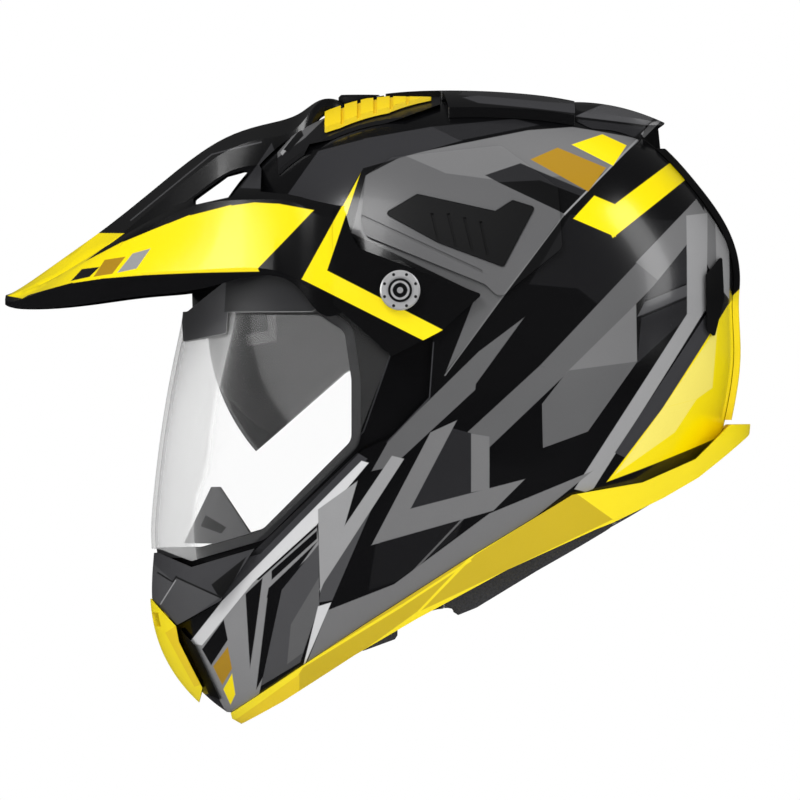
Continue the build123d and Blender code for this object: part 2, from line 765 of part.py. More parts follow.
vent_body_shares = [
    (278, 154), (302, 126), (330, 80), (440, 80), (440, 106), (400, 121), (340, 140),
    (310, 146), (287, 192), (280, 188),
]
vent_body_depth = 2.2
vent_near = 23.0
vent_far = 62.0
with BuildPart() as crown_vent_body_right:
    add(cladding(vent_body_shares, vent_body_depth, vent_near, vent_far))
    add(crest_room, mode=Mode.SUBTRACT)
write(crown_vent_body_right, "crown_vent_body_right")
with BuildPart() as crown_vent_body_left:
    add(mirrored(crown_vent_body_right.part))
write(crown_vent_body_left, "crown_vent_body_left")

slider_plan_shares = [(325, 56), (431, 56), (431, 75), (388, 104), (340, 109), (325, 106)]
slider_top_shares = [(300, 90), (331, 109), (352, 101), (388, 97.5), (460, 99), (460, 200), (300, 200)]
slider_corner = 2.0
slider_depth = 5.8
slider_float = 0.9
slider_rib = 2.0
slider_rib_depth = 1.6
slider_rib_pitch = 9.0
slider_ribs = 5
slider_rib_share = (341, 0)
rib_start = side(slider_rib_share)[0]
slider_grooves = []
for rib in range(slider_ribs):
    start = rib_start + rib * slider_rib_pitch
    across = [(start, 0), (start + slider_rib, 0), (start + slider_rib, overrun), (start, overrun)]
    slider_grooves.append(plan(across, 0, overrun) - hull("shell", slider_depth - slider_rib_depth))
slider_plan = plan([(side((x, 0))[0], y * step) for x, y in slider_plan_shares], 0, overrun, slider_corner)
with BuildPart() as crown_vent_slider_right:
    add(hull("shell", slider_depth) & slider_plan)
    add(hull("shell", vent_body_depth + slider_float), mode=Mode.SUBTRACT)
    add(through(slider_top_shares), mode=Mode.INTERSECT)
    add(slider_grooves, mode=Mode.SUBTRACT)
write(crown_vent_slider_right, "crown_vent_slider_right")
with BuildPart() as crown_vent_slider_left:
    add(mirrored(crown_vent_slider_right.part))
write(crown_vent_slider_left, "crown_vent_slider_left")

# Sides: raised panels and their black vent inserts
panel_shares = [
    (366, 178), (392, 160), (500, 148), (556, 190), (560, 250), (498, 300), (484, 286),
    (366, 238), (361, 225),
]
panel_depth = 2.4
panel_corner = 5.0
insert_shares = [
    (385, 216), (417, 197), (494, 214), (511, 203), (533, 210), (502, 269), (438, 245),
]
insert_corner = 1.5
insert_depth = 3.2
insert_floor = 0.8
seam_shares = [(362, 217), (481, 272), (481, 275), (362, 220)]
panel_seam_depth = 0.8
panel_well = through(insert_shares, insert_corner, seat) - hull("shell", insert_floor)
panel_seam = through(seam_shares) - hull("shell", panel_depth - panel_seam_depth)
with BuildPart() as side_panel_right:
    add(cladding(panel_shares, panel_depth, 0, overrun, panel_corner))
    add(panel_well, mode=Mode.SUBTRACT)
    add(panel_seam, mode=Mode.SUBTRACT)
write(side_panel_right, "side_panel_right")
with BuildPart() as side_panel_left:
    add(mirrored(side_panel_right.part))
write(side_panel_left, "side_panel_left")

insert_rib_shares = [
    [(430, 216), (433, 216), (440, 245), (437, 245)],
    [(446, 216), (449, 216), (457, 249), (454, 249)],
    [(462, 220), (465, 220), (473, 253), (470, 253)],
    [(478, 224), (481, 224), (488, 257), (485, 257)],
]
insert_ribs = [
    prism(rib, 0, overrun) - hull("shell", insert_depth - panel_seam_depth)
    for rib in insert_rib_shares
]
with BuildPart() as side_vent_right:
    add(cladding(insert_shares, insert_depth, 0, overrun, insert_corner, insert_floor + seat))
    add(insert_ribs, mode=Mode.SUBTRACT)
write(side_vent_right, "side_vent_right")
with BuildPart() as side_vent_left:
    add(mirrored(side_vent_right.part))
write(side_vent_left, "side_vent_left")

# Rear exhaust vents low on each side
exhaust_shares = [(703, 276), (720, 256), (722, 300), (712, 338), (704, 330)]
exhaust_depth = 2.2
exhaust_near = 27.0
exhaust_corner = 1.0
with BuildPart() as exhaust_vent_right:
    add(cladding(exhaust_shares, exhaust_depth, exhaust_near, overrun, exhaust_corner))
write(exhaust_vent_right, "exhaust_vent_right")
with BuildPart() as exhaust_vent_left:
    add(mirrored(exhaust_vent_right.part))
write(exhaust_vent_left, "exhaust_vent_left")

# Chin: upper guard, vent cover, and the louvred recess beside it
guard_shares = [
    (60, 553), (161, 553), (193, 566), (256, 547), (222, 599), (178, 624), (152, 598), (60, 598),
]
guard_depth = 4.4
with BuildPart() as guard_keepout:
    add(through(shield_edge_shares, grow=2 * seat) & hull("shield", shield_thickness + seat))
    add(through(port_shares, port_corner, gasket_reach + seat) & hull("shield", 0))
with BuildPart() as chin_guard:
    add(hull("shell", guard_depth) & through(guard_shares))
    add(shell_form(seat), mode=Mode.SUBTRACT)
    add(guard_keepout.part, mode=Mode.SUBTRACT)
chin_guard.part = Part([chin_guard.part.solids().sort_by(SortBy.VOLUME)[-1]])
write(chin_guard, "chin_guard")

cover_shares = [
    (60, 599), (152, 599), (177, 625), (180, 641), (203, 687), (190, 740), (60, 740),
]
cover_depth = 5.4
cover_half_width = 56.0
cover_slot_shares = [(100, 612), (200, 612), (200, 626), (100, 626)]
cover_web = 6.0
with BuildPart() as chin_vent_cover:
    add(cladding(cover_shares, cover_depth, -cover_half_width, cover_half_width))
    add(both(prism(cover_slot_shares, cover_web, inlet_half_width)), mode=Mode.SUBTRACT)
write(chin_vent_cover, "chin_vent_cover")

louvre_shares = [(181, 628), (196, 644), (221, 699), (210, 695)]
louvre_depth = 1.6
with BuildPart() as chin_louvres:
    add(both(cladding(louvre_shares, louvre_depth, 0, overrun)))
write(chin_louvres, "chin_louvres")

# Breath deflector standing on the chin bar inside the eye port
deflector_low_share = (184, 543)
deflector_high_share = (211, 487)
deflector_half_width = 47.0
deflector_top_half_width = 9.0
deflector_bow = 38.0
deflector_top_bow = 3.0
deflector_thickness = 2.4


def crescent(front, half, bow, thickness):
    """Closed curved strip across the helmet, as two arcs joined at their ends."""
    x = side(front)[0]
    ThreePointArc((x + bow, -half), (x, 0), (x + bow, half))
    ThreePointArc(
        (x + bow + thickness, half), (x + thickness, 0), (x + bow + thickness, -half)
    )
    Line((x + bow, half), (x + bow + thickness, half))
    Line((x + bow + thickness, -half), (x + bow, -half))


with BuildPart() as breath_deflector:
    with BuildSketch(Plane.XY.offset(side(deflector_low_share)[1])):
        with BuildLine():
            crescent(deflector_low_share, deflector_half_width, deflector_bow, deflector_thickness)
        make_face()
    with BuildSketch(Plane.XY.offset(side(deflector_high_share)[1])):
        with BuildLine():
            crescent(
                deflector_high_share, deflector_top_half_width, deflector_top_bow,
                deflector_thickness,
            )
        make_face()
    loft(ruled=True)
    add(through(port_shares, port_corner, -seat), mode=Mode.INTERSECT)
write(breath_deflector, "breath_deflector")

# Chin curtain: a thin flap closing the front of the neck opening
curtain_shares = [(240, 700), (330, 641), (330, 645), (240, 704)]
curtain_gap = 13.0
curtain_throat = 62.0
throat_share = (400, 0)
with BuildPart() as throat:
    with BuildSketch(Plane.XY.offset(-overrun)):
        with Locations((side(throat_share)[0], 0)):
            Circle(curtain_throat)
    extrude(amount=overrun)
with BuildPart() as chin_curtain:
    add(hull("shell", -curtain_gap) & through(curtain_shares))
    add(throat.part, mode=Mode.SUBTRACT)
write(chin_curtain, "chin_curtain")

# Chin strap: two webbing halves riveted inside the opening, joined by a ratchet buckle
strap_share = (425, 598)
strap_top_share = (0, 506)
strap_width = 20.0
strap_bend = 14.0
strap_drop = 12.0
tongue_width = 12.0
tongue_thickness = 2.2
buckle_tongue_near = -31.0
buckle_tongue_far = 14.0
buckle_far = 31.0
webbing_hold = 5.0
strap_x, strap_z = side(strap_share)
strap_top = side(strap_top_share)[1]


def strap(end):
    """One webbing half, hanging from its rivet and turned in under the chin as far as end."""
    hand = 1 if end > 0 else -1
    with BuildPart() as half:
        with BuildSketch(Plane.YZ.offset(strap_x - strap_width / 2)):
            with BuildLine():
                FilletPolyline(
                    (hand * strap_side, strap_top),
                    (hand * strap_side, strap_z + strap_drop),
                    (end + hand * strap_bend, strap_z),
                    (end, strap_z),
                    radius=strap_bend,
                )
            trace(line_width=strap_thickness)
        extrude(amount=strap_width)
    return half.part


strap_rivet_radius = 6.0
strap_rivet_head = 1.2
rivet_in = strap_side - strap_thickness / 2 - seat
with BuildPart() as rivet:
    add(disc(strap_rivet_share, strap_rivet_shank, rivet_in, half_width))
    add(hull("shell", -wall - seat), mode=Mode.INTERSECT)
    add(disc(strap_rivet_share, strap_rivet_radius, rivet_in - strap_rivet_head, rivet_in))
with BuildPart() as strap_rivets:
    add(both(rivet.part))
write(strap_rivets, "strap_rivets")
with BuildPart() as strap_right:
    add(strap(buckle_far - webbing_hold))
    add(rivet_bore, mode=Mode.SUBTRACT)
write(strap_right, "strap_right")
with BuildPart() as strap_left:
    add(strap(buckle_tongue_near - seat))
    add(mirrored(rivet_bore), mode=Mode.SUBTRACT)
write(strap_left, "strap_left")

tooth_pitch = 3.0
tooth_depth = 0.8
tooth_count = 7
buckle_width = 24.0
buckle_near = -14.0
buckle_low = 2.8
buckle_high = 3.4
buckle_round = 1.2
channel_clear = 0.5
window_near = -6.0
window_far = 10.0
window_width = 8.4
ear_near = 15.0
ear_far = 25.0
ear_height = 5.4
ear_depth = 3.0
lever_pin = 1.5
lever_pin_y = 20.0
lever_near = -22.0
lever_thickness = 2.2
pawl_near = 2.0
pawl_far = 5.0
pawl_width = 6.0
pawl_depth = 2.8


def block(length, width, height, low):
    """Box lying across the helmet: y from length[0] to length[1], centred on the strap."""
    with BuildPart() as solid:
        with BuildSketch(Plane.XY.offset(low)):
            with Locations((strap_x, (length[0] + length[1]) / 2)):
                Rectangle(width, length[1] - length[0])
        extrude(amount=height)
    return solid.part


tooth_low = strap_z + tongue_thickness / 2 - tooth_depth
with BuildPart() as buckle_tongue:
    add(block(
        (buckle_tongue_near, buckle_tongue_far), tongue_width, tongue_thickness,
        strap_z - tongue_thickness / 2,
    ))
    for tooth in range(tooth_count):
        start = buckle_tongue_far - (tooth + 1) * tooth_pitch
        add(
            block((start, start + tooth_pitch / 2), tongue_width, tooth_depth, tooth_low),
            mode=Mode.SUBTRACT,
        )
write(buckle_tongue, "buckle_tongue")

ear_low = strap_z + buckle_high
lever_z = ear_low + ear_height / 2
with BuildPart() as lever_bore:
    with BuildSketch(Plane.YZ.offset(strap_x - buckle_width)):
        with Locations((lever_pin_y, lever_z)):
            Circle(lever_pin + seat)
    extrude(amount=2 * buckle_width)
with BuildPart() as buckle_body:
    add(block((buckle_near, buckle_far), buckle_width, buckle_low + buckle_high, strap_z - buckle_low))
    fillet(buckle_body.edges().filter_by(Axis.Z), buckle_round)
    add(block((ear_near, ear_far), buckle_width, ear_height, ear_low))
    add(
        block((ear_near, ear_far), buckle_width - 2 * ear_depth, ear_height, ear_low),
        mode=Mode.SUBTRACT,
    )
    add(
        block(
            (buckle_near, buckle_tongue_far + 2 * channel_clear), tongue_width + 2 * channel_clear,
            tongue_thickness + 2 * channel_clear, strap_z - tongue_thickness / 2 - channel_clear,
        ),
        mode=Mode.SUBTRACT,
    )
    add(
        block(
            (buckle_far - webbing_hold - seat, buckle_far), strap_width + 2 * seat,
            strap_thickness + 2 * seat, strap_z - strap_thickness / 2 - seat,
        ),
        mode=Mode.SUBTRACT,
    )
    add(
        block((window_near, window_far), window_width, buckle_high, strap_z + tongue_thickness / 2),
        mode=Mode.SUBTRACT,
    )
    add(lever_bore.part, mode=Mode.SUBTRACT)
write(buckle_body, "buckle_body")

lever_width = buckle_width - 2 * ear_depth - 2 * channel_clear
with BuildPart() as buckle_lever:
    with BuildSketch(Plane.YZ.offset(strap_x - lever_width / 2)):
        with Locations(((lever_near + lever_pin_y + lever_thickness) / 2, lever_z)):
            Rectangle(lever_pin_y + lever_thickness - lever_near, lever_thickness)
    extrude(amount=lever_width)
    with BuildSketch(Plane.YZ.offset(strap_x - buckle_width / 2)):
        with Locations((lever_pin_y, lever_z)):
            Circle(lever_pin)
    extrude(amount=buckle_width)
    add(block(
        (pawl_near, pawl_far), pawl_width, pawl_depth + seat,
        lever_z - lever_thickness / 2 - pawl_depth,
    ))
write(buckle_lever, "buckle_lever")
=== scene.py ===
"""Looks of a dual sport helmet: paint scheme with painted light and shade, clear and tinted
visors, quilted lining and studio.
"""
import logging
import math
from dataclasses import dataclass
from enum import Enum
from typing import Sequence, Union

import bmesh
import bpy
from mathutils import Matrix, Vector
from mathutils.bvhtree import BVHTree


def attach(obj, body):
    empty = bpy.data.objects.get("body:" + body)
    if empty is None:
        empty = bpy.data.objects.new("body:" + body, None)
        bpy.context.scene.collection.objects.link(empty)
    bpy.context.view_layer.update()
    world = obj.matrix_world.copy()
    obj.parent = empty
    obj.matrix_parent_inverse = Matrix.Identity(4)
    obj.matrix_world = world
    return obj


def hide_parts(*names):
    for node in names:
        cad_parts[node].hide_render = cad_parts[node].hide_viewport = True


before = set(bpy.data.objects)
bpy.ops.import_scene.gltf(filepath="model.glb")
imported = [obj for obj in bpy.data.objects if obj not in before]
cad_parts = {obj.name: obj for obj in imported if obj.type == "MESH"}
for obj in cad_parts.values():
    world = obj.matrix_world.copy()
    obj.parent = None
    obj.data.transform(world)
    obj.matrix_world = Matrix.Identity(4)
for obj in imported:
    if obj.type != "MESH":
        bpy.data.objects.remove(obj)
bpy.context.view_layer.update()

log = logging.getLogger("helmet")
Point = tuple[float, float]
Triple = tuple[float, float, float]
Quad = tuple[float, float, float, float]
Value = Union[bpy.types.NodeSocket, float, Triple, Quad]

WHITE: Quad = (1.0, 1.0, 1.0, 1.0)
UP: Triple = (0.0, 0.0, 1.0)
ACROSS: Triple = (0.0, 1.0, 0.0)
MM_PER_METRE = 1000
SHELL_LENGTH = 0.327
DRAWN_LENGTH = 589
DRAWING_STEP = SHELL_LENGTH / DRAWN_LENGTH
DRAWING_ORIGIN: Point = (470.0, 600.0)


def on_side(point: Point) -> Point:
    """Place of a side-drawing point.

    Args:
        point: drawing x to the rear and y down, in drawing steps.

    Returns:
        (x, z) in metres.
    """
    return (
        (point[0] - DRAWING_ORIGIN[0]) * DRAWING_STEP,
        (DRAWING_ORIGIN[1] - point[1]) * DRAWING_STEP,
    )


class Tone(Enum):
    """Colours of the helmet, linear."""

    JET = (0.003, 0.003, 0.0035)
    COAL = (0.009, 0.009, 0.010)
    PITCH = (0.020, 0.020, 0.022)
    FLINT = (0.033, 0.033, 0.036)
    SLATE = (0.045, 0.045, 0.049)
    IRON = (0.072, 0.072, 0.076)
    STEEL = (0.115, 0.115, 0.118)
    ASH = (0.175, 0.175, 0.178)
    PEWTER = (0.24, 0.24, 0.245)
    SILVER = (0.32, 0.32, 0.325)
    FROST = (0.64, 0.64, 0.65)
    LEMON = (1.0, 0.80, 0.0)
    # Paler yellow, used only as painted sheen.
    PRIMROSE = (1.0, 0.86, 0.16)
    AMBER = (0.88, 0.63, 0.0)
    HONEY = (0.63, 0.455, 0.0)
    OCHRE = (0.42, 0.235, 0.012)
    RED = (0.45, 0.018, 0.01)
    METAL = (0.66, 0.66, 0.67)
    CLEAR = (0.993, 0.995, 0.995)
    PAPER = (0.95, 0.95, 0.95)


@dataclass(frozen=True)
class Patch:
    """One convex block of colour in side-drawing points, used both for the paint scheme and for
    painted light and shade.
    """

    tone: Tone
    corners: tuple[Point, ...]


def line(tone: Tone, start: Point, end: Point, width: float = 1.1) -> Patch:
    """A thin line of colour, used both for the paint scheme and for painted highlights.

    Args:
        tone: its colour.
        start: one end, a side-drawing point.
        end: the other end.
        width: its width in drawing steps.

    Returns:
        The line as a patch.
    """
    along = Vector(end) - Vector(start)
    aside = Vector((-along.y, along.x)).normalized() * (width / 2)
    ends = (Vector(start) - aside, Vector(start) + aside, Vector(end) + aside, Vector(end) - aside)
    return Patch(tone, tuple((place.x, place.y) for place in ends))


# The shell's paint scheme together with painted highlights, sheen and shade, each marked below.
SHELL_LIVERY: tuple[Patch, ...] = (
    Patch(Tone.STEEL, ((352, 235), (366, 178), (404, 158), (462, 146), (571, 129), (640, 140),
                       (563, 217), (500, 297), (478, 296))),
    Patch(Tone.STEEL, ((480, 283), (563, 217), (500, 300), (443, 378))),
    # Painted sheen: the upper part of the grey panel is lighter, where the light falls on it.
    Patch(Tone.ASH, ((404, 158), (462, 146), (522, 133), (571, 129), (640, 140), (600, 176),
                     (497, 183), (445, 176))),
    Patch(Tone.PITCH, ((484, 178), (519, 166), (585, 194), (564, 217), (497, 185))),
    Patch(Tone.JET, ((497, 185), (538, 183), (580, 199), (564, 217))),
    # Painted sheen: dark grey steps on the black crown side, standing for a soft reflection.
    Patch(Tone.FLINT, ((289, 196), (319, 153), (366, 141), (363, 172), (338, 212))),
    Patch(Tone.FLINT, ((364, 141), (432, 129), (462, 143), (363, 171))),
    Patch(Tone.PITCH, ((432, 129), (514, 121), (538, 127), (459, 143))),
    Patch(Tone.COAL, ((568, 217), (681, 223), (594, 305), (575, 290))),
    Patch(Tone.COAL, ((568, 217), (575, 290), (527, 286))),
    Patch(Tone.LEMON, ((360, 178), (336, 222), (346, 222))),
    line(Tone.SILVER, (637, 140), (562, 217), 1.6),
    line(Tone.ASH, (562, 217), (502, 297)),
    line(Tone.ASH, (502, 297), (444, 376)),
    Patch(Tone.STEEL, ((522, 319), (478, 352), (470, 362), (474, 385))),
    Patch(Tone.STEEL, ((478, 352), (390, 438), (372, 470), (392, 466), (474, 390))),
    # Painted highlights: thin light lines along the edges of the eye-port bay.
    line(Tone.SLATE, (390, 357), (364, 431)),
    line(Tone.SLATE, (364, 431), (256, 541)),
    line(Tone.SLATE, (433, 343), (429, 398)),
    line(Tone.SLATE, (429, 398), (387, 442)),
    Patch(Tone.OCHRE, ((529, 162), (556, 150), (604, 170), (586, 194))),
    Patch(Tone.LEMON, ((570, 147), (601, 136), (625, 147), (611, 168))),
    Patch(Tone.LEMON, ((571, 221), (592, 198), (616, 208), (613, 239))),
    Patch(Tone.LEMON, ((613, 206), (674, 160), (690, 176), (610, 240), (608, 236))),
    Patch(Tone.STEEL, ((695, 200), (712, 226), (562, 376), (538, 366))),
    # Painted highlights: the top of the rear diagonal band is lighter, and light strips run along
    # the rear edge.
    Patch(Tone.ASH, ((695, 200), (712, 226), (655, 282), (633, 264))),
    Patch(Tone.ASH, ((703, 208), (716, 226), (716, 290), (703, 262))),
    Patch(Tone.SILVER, ((714, 224), (728, 246), (728, 300), (714, 284))),
    Patch(Tone.STEEL, ((538, 366), (562, 376), (476, 458), (440, 456))),
    Patch(Tone.PITCH, ((640, 300), (684, 246), (684, 318), (634, 364))),
    Patch(Tone.IRON, ((634, 318), (684, 297), (684, 286), (642, 303))),
    line(Tone.JET, (634, 320), (684, 299), 1.4),
    line(Tone.JET, (642, 302), (684, 285), 1.4),
    Patch(Tone.ASH, ((633, 305), (634, 362), (585, 431), (541, 447), (540, 404), (566, 371))),
    Patch(Tone.STEEL, ((566, 371), (634, 362), (585, 431), (541, 447), (540, 404))),
    Patch(Tone.SILVER, ((684, 217), (706, 214), (703, 312), (684, 315))),
    Patch(Tone.SILVER, ((684, 315), (703, 310), (588, 492), (572, 488))),
    Patch(Tone.SLATE, ((703, 316), (716, 327), (634, 463), (612, 452))),
    Patch(Tone.LEMON, ((760, 268), (726, 306), (659, 409), (760, 430))),
    Patch(Tone.LEMON, ((659, 409), (604, 481), (760, 424), (760, 380))),
    # Painted sheen: a paler yellow zone on the rear yellow.
    Patch(Tone.PRIMROSE, ((715, 327), (710, 388), (694, 399), (660, 408))),
    Patch(Tone.PRIMROSE, ((694, 399), (660, 408), (612, 474), (672, 432))),
    Patch(Tone.COAL, ((376, 543), (470, 501), (455, 535), (398, 578), (369, 588))),
    # Painted highlight: a thin grey streak across the black zone.
    line(Tone.STEEL, (462, 517), (411, 571), 1.8),
    Patch(Tone.IRON, ((385, 477), (322, 584), (320, 600), (333, 598))),
    Patch(Tone.ASH, ((332, 600), (394, 582), (470, 552), (303, 672))),
    Patch(Tone.ASH, ((394, 582), (488, 512), (590, 470), (440, 590))),
    Patch(Tone.PITCH, ((405, 508), (452, 428), (471, 433), (471, 494))),
    Patch(Tone.ASH, ((372, 543), (430, 432), (456, 420), (411, 506), (380, 541))),
    Patch(Tone.ASH, ((372, 543), (407, 508), (523, 478), (492, 509))),
    Patch(Tone.ASH, ((470, 433), (488, 436), (488, 488), (470, 491))),
    Patch(Tone.STEEL, ((470, 433), (488, 436), (562, 376), (545, 366))),
    Patch(Tone.PEWTER, ((191, 640), (250, 576), (285, 584), (258, 700), (231, 722))),
    Patch(Tone.PEWTER, ((256, 582), (318, 526), (320, 545), (272, 592))),
    Patch(Tone.JET, ((273, 569), (318, 529), (318, 537), (273, 578))),
    Patch(Tone.SLATE, ((220, 593), (228, 598), (340, 489), (368, 458), (358, 452), (255, 550))),
    Patch(Tone.FROST, ((362, 460), (369, 462), (317, 524), (302, 520))),
    Patch(Tone.FROST, ((303, 519), (318, 523), (254, 581), (223, 600))),
    Patch(Tone.FROST, ((224, 599), (255, 580), (203, 644), (190, 642))),
    Patch(Tone.JET, ((203, 648), (225, 618), (229, 638), (212, 664))),
    Patch(Tone.OCHRE, ((214, 665), (229, 645), (233, 667), (223, 684))),
    Patch(Tone.LEMON, ((224, 688), (233, 672), (236, 693), (231, 704))),
    Patch(Tone.JET, ((247, 592), (264, 576), (256, 634), (251, 666))),
    Patch(Tone.JET, ((319, 539), (270, 586), (268, 596), (282, 590))),
    Patch(Tone.JET, ((270, 586), (284, 588), (271, 662), (257, 688))),
    # Painted shade and light: iron grey stepping to a lighter steel grey in the middle of the chin
    # panel.
    Patch(Tone.IRON, ((320, 542), (283, 588), (262, 684), (301, 660), (320, 603))),
    Patch(Tone.STEEL, ((320, 575), (320, 603), (304, 650), (288, 662), (292, 622))),
    Patch(Tone.SILVER, ((319, 508), (358, 480), (343, 532), (321, 590))),
    Patch(Tone.SILVER, ((340, 532), (392, 455), (404, 458), (320, 588))),
    Patch(Tone.FROST, ((319, 604), (332, 600), (313, 645), (303, 668))),
    Patch(Tone.JET, ((560, 500), (720, 436), (760, 420), (760, 440), (610, 500))),
)
PEAK_LIVERY: tuple[Patch, ...] = (
    Patch(Tone.LEMON, ((8, 296), (95, 233), (125, 234), (86, 263), (24, 299))),
    Patch(Tone.LEMON, ((24, 297), (86, 263), (100, 256), (75, 283.5))),
    Patch(Tone.LEMON, ((72, 270.7), (86, 263), (125, 243), (103, 280), (75, 284))),
    Patch(Tone.LEMON, ((125, 243.5), (151, 233), (170, 225.5), (172, 274.7), (100, 280))),
    Patch(Tone.LEMON, ((150, 233.5), (192, 217), (209, 274), (150, 276.3))),
    Patch(Tone.LEMON, ((188, 218.7), (233, 207.3), (261, 273.3), (201, 274.3))),
    Patch(Tone.LEMON, ((227, 208.8), (256, 205), (281, 206.5), (315, 213), (257, 273))),
    Patch(Tone.COAL, ((73, 282), (84, 270), (102, 268), (92, 278))),
    Patch(Tone.OCHRE, ((96, 278), (107, 261), (128, 258), (115, 275))),
    Patch(Tone.SILVER, ((120, 274), (135, 255), (153, 250), (139, 270))),
    Patch(Tone.FLINT, ((242, 190), (279, 192), (277, 157), (272, 144))),
    # Painted highlights: light lines along the peak's crest.
    line(Tone.IRON, (131, 221), (212, 155), 1.3),
    line(Tone.IRON, (212, 155), (262, 143), 1.3),
)
ARM_LIVERY: tuple[Patch, ...] = (
    Patch(Tone.LEMON, ((360, 178), (303, 281), (307, 283), (328, 273))),
    Patch(Tone.LEMON, ((303, 281), (325, 271), (442, 331), (424, 342))),
)
RIDGE_LIVERY: tuple[Patch, ...] = (
    Patch(Tone.LEMON, ((728, 300), (760, 268), (760, 430), (712, 430))),
)
# Painted reflections: the fairing is black; the dark grey and lighter grey bands on its side stand
# for reflected light.
FAIRING_LIVERY: tuple[Patch, ...] = (
    Patch(Tone.PITCH, ((458, 96), (482, 84), (560, 88), (606, 104), (573, 112))),
    Patch(Tone.SLATE, ((462, 99), (478, 97), (540, 103), (540, 111), (478, 105))),
    Patch(Tone.SLATE, ((539, 103), (590, 106), (573, 115), (539, 111))),
)
# Painted light and shade on the black spoiler: a grey reflection on its upper facet, a darker grey
# lower facet, and a painted highlight at the tail.
SPOILER_LIVERY: tuple[Patch, ...] = (
    Patch(Tone.IRON, ((574, 118), (604, 104), (655, 117), (646, 126))),
    Patch(Tone.PITCH, ((577, 121), (645, 128), (634, 138), (574, 130))),
    Patch(Tone.ASH, ((664, 118), (650, 124), (640, 135), (644, 138))),
)
VENT_LIVERY: tuple[Patch, ...] = (
    Patch(Tone.STEEL, ((270, 175), (270, 150), (306, 116), (330, 104), (330, 122), (305, 140))),
    Patch(Tone.SILVER, ((281, 154), (307, 121), (309, 124), (283, 157))),
    Patch(Tone.JET, ((284, 151), (301, 129), (304, 137), (289, 154))),
    # Painted highlight: a light grey band along the top edge above the slider.
    Patch(Tone.ASH, ((340, 106), (384, 97), (450, 92), (452, 96), (384, 102), (341, 111))),
)
# Painted light and shade on the yellow trim and chin vent cover: honey and amber on facets turned
# from the light as painted shade, lemon lines along the trim's top edge as painted highlights.
TRIM_LIVERY: tuple[Patch, ...] = (
    Patch(Tone.HONEY, ((310, 655), (470, 553), (417, 609), (355, 654), (283, 699))),
    Patch(Tone.HONEY, ((474, 553), (572, 491), (610, 518), (421, 608))),
    line(Tone.LEMON, (300, 666), (402, 603), 2.6),
    line(Tone.LEMON, (402, 603), (470, 558), 2.2),
    Patch(Tone.AMBER, ((166, 632), (178, 624), (201, 684), (195, 686))),
    Patch(Tone.AMBER, ((232, 722), (300, 672), (300, 690), (234, 732))),
)
# Painted light and shade on the grey chin guard: lighter iron facets and a silver edge line as
# painted highlights, black lines as painted shade in its creases.
GUARD_LIVERY: tuple[Patch, ...] = (
    Patch(Tone.IRON, ((162, 604), (178, 576), (221, 596), (180, 625))),
    Patch(Tone.IRON, ((152, 562), (174, 580), (162, 604), (150, 600))),
    line(Tone.SILVER, (161, 604), (177, 579)),
    line(Tone.JET, (158, 572), (174, 581), 1.5),
    line(Tone.JET, (174, 581), (178, 575), 1.5),
    line(Tone.JET, (177, 576), (223, 596), 1.8),
    Patch(Tone.JET, ((213, 583), (248, 555), (226, 597), (219, 593))),
)
# Painted shade: the visor's top is opaque black, standing for the dark under the shell's brow.
SUN_VISOR_TOP: tuple[Patch, ...] = (
    Patch(Tone.JET, ((190, 230), (400, 230), (400, 312), (190, 312))),
)
DEFLECTOR_LIVERY: tuple[Patch, ...] = (
    Patch(Tone.JET, ((201, 526), (206, 515), (227, 527), (222, 533))),
)
SHIELD_FRAME: tuple[Patch, ...] = (
    Patch(Tone.IRON, ((180, 300), (232, 278), (228, 334), (184, 342))),
    Patch(Tone.PITCH, ((228, 278), (345, 270), (328, 305), (313, 313), (226, 313))),
)


@dataclass(frozen=True)
class Finish:
    """How one surface takes the light."""

    tone: Tone
    roughness: float
    metal: float = 0.0
    coat: float = 0.0
    grain: float = 0.0
    size: float = 0.0006
    weave: float = 0.0
    mottle: float = 0.06
    livery: tuple[Patch, ...] = ()
    outer_only: bool = False
    specular: float = 0.5
    clear: float = 0.0
    screw_face: bool = False
    sewn: bool = False


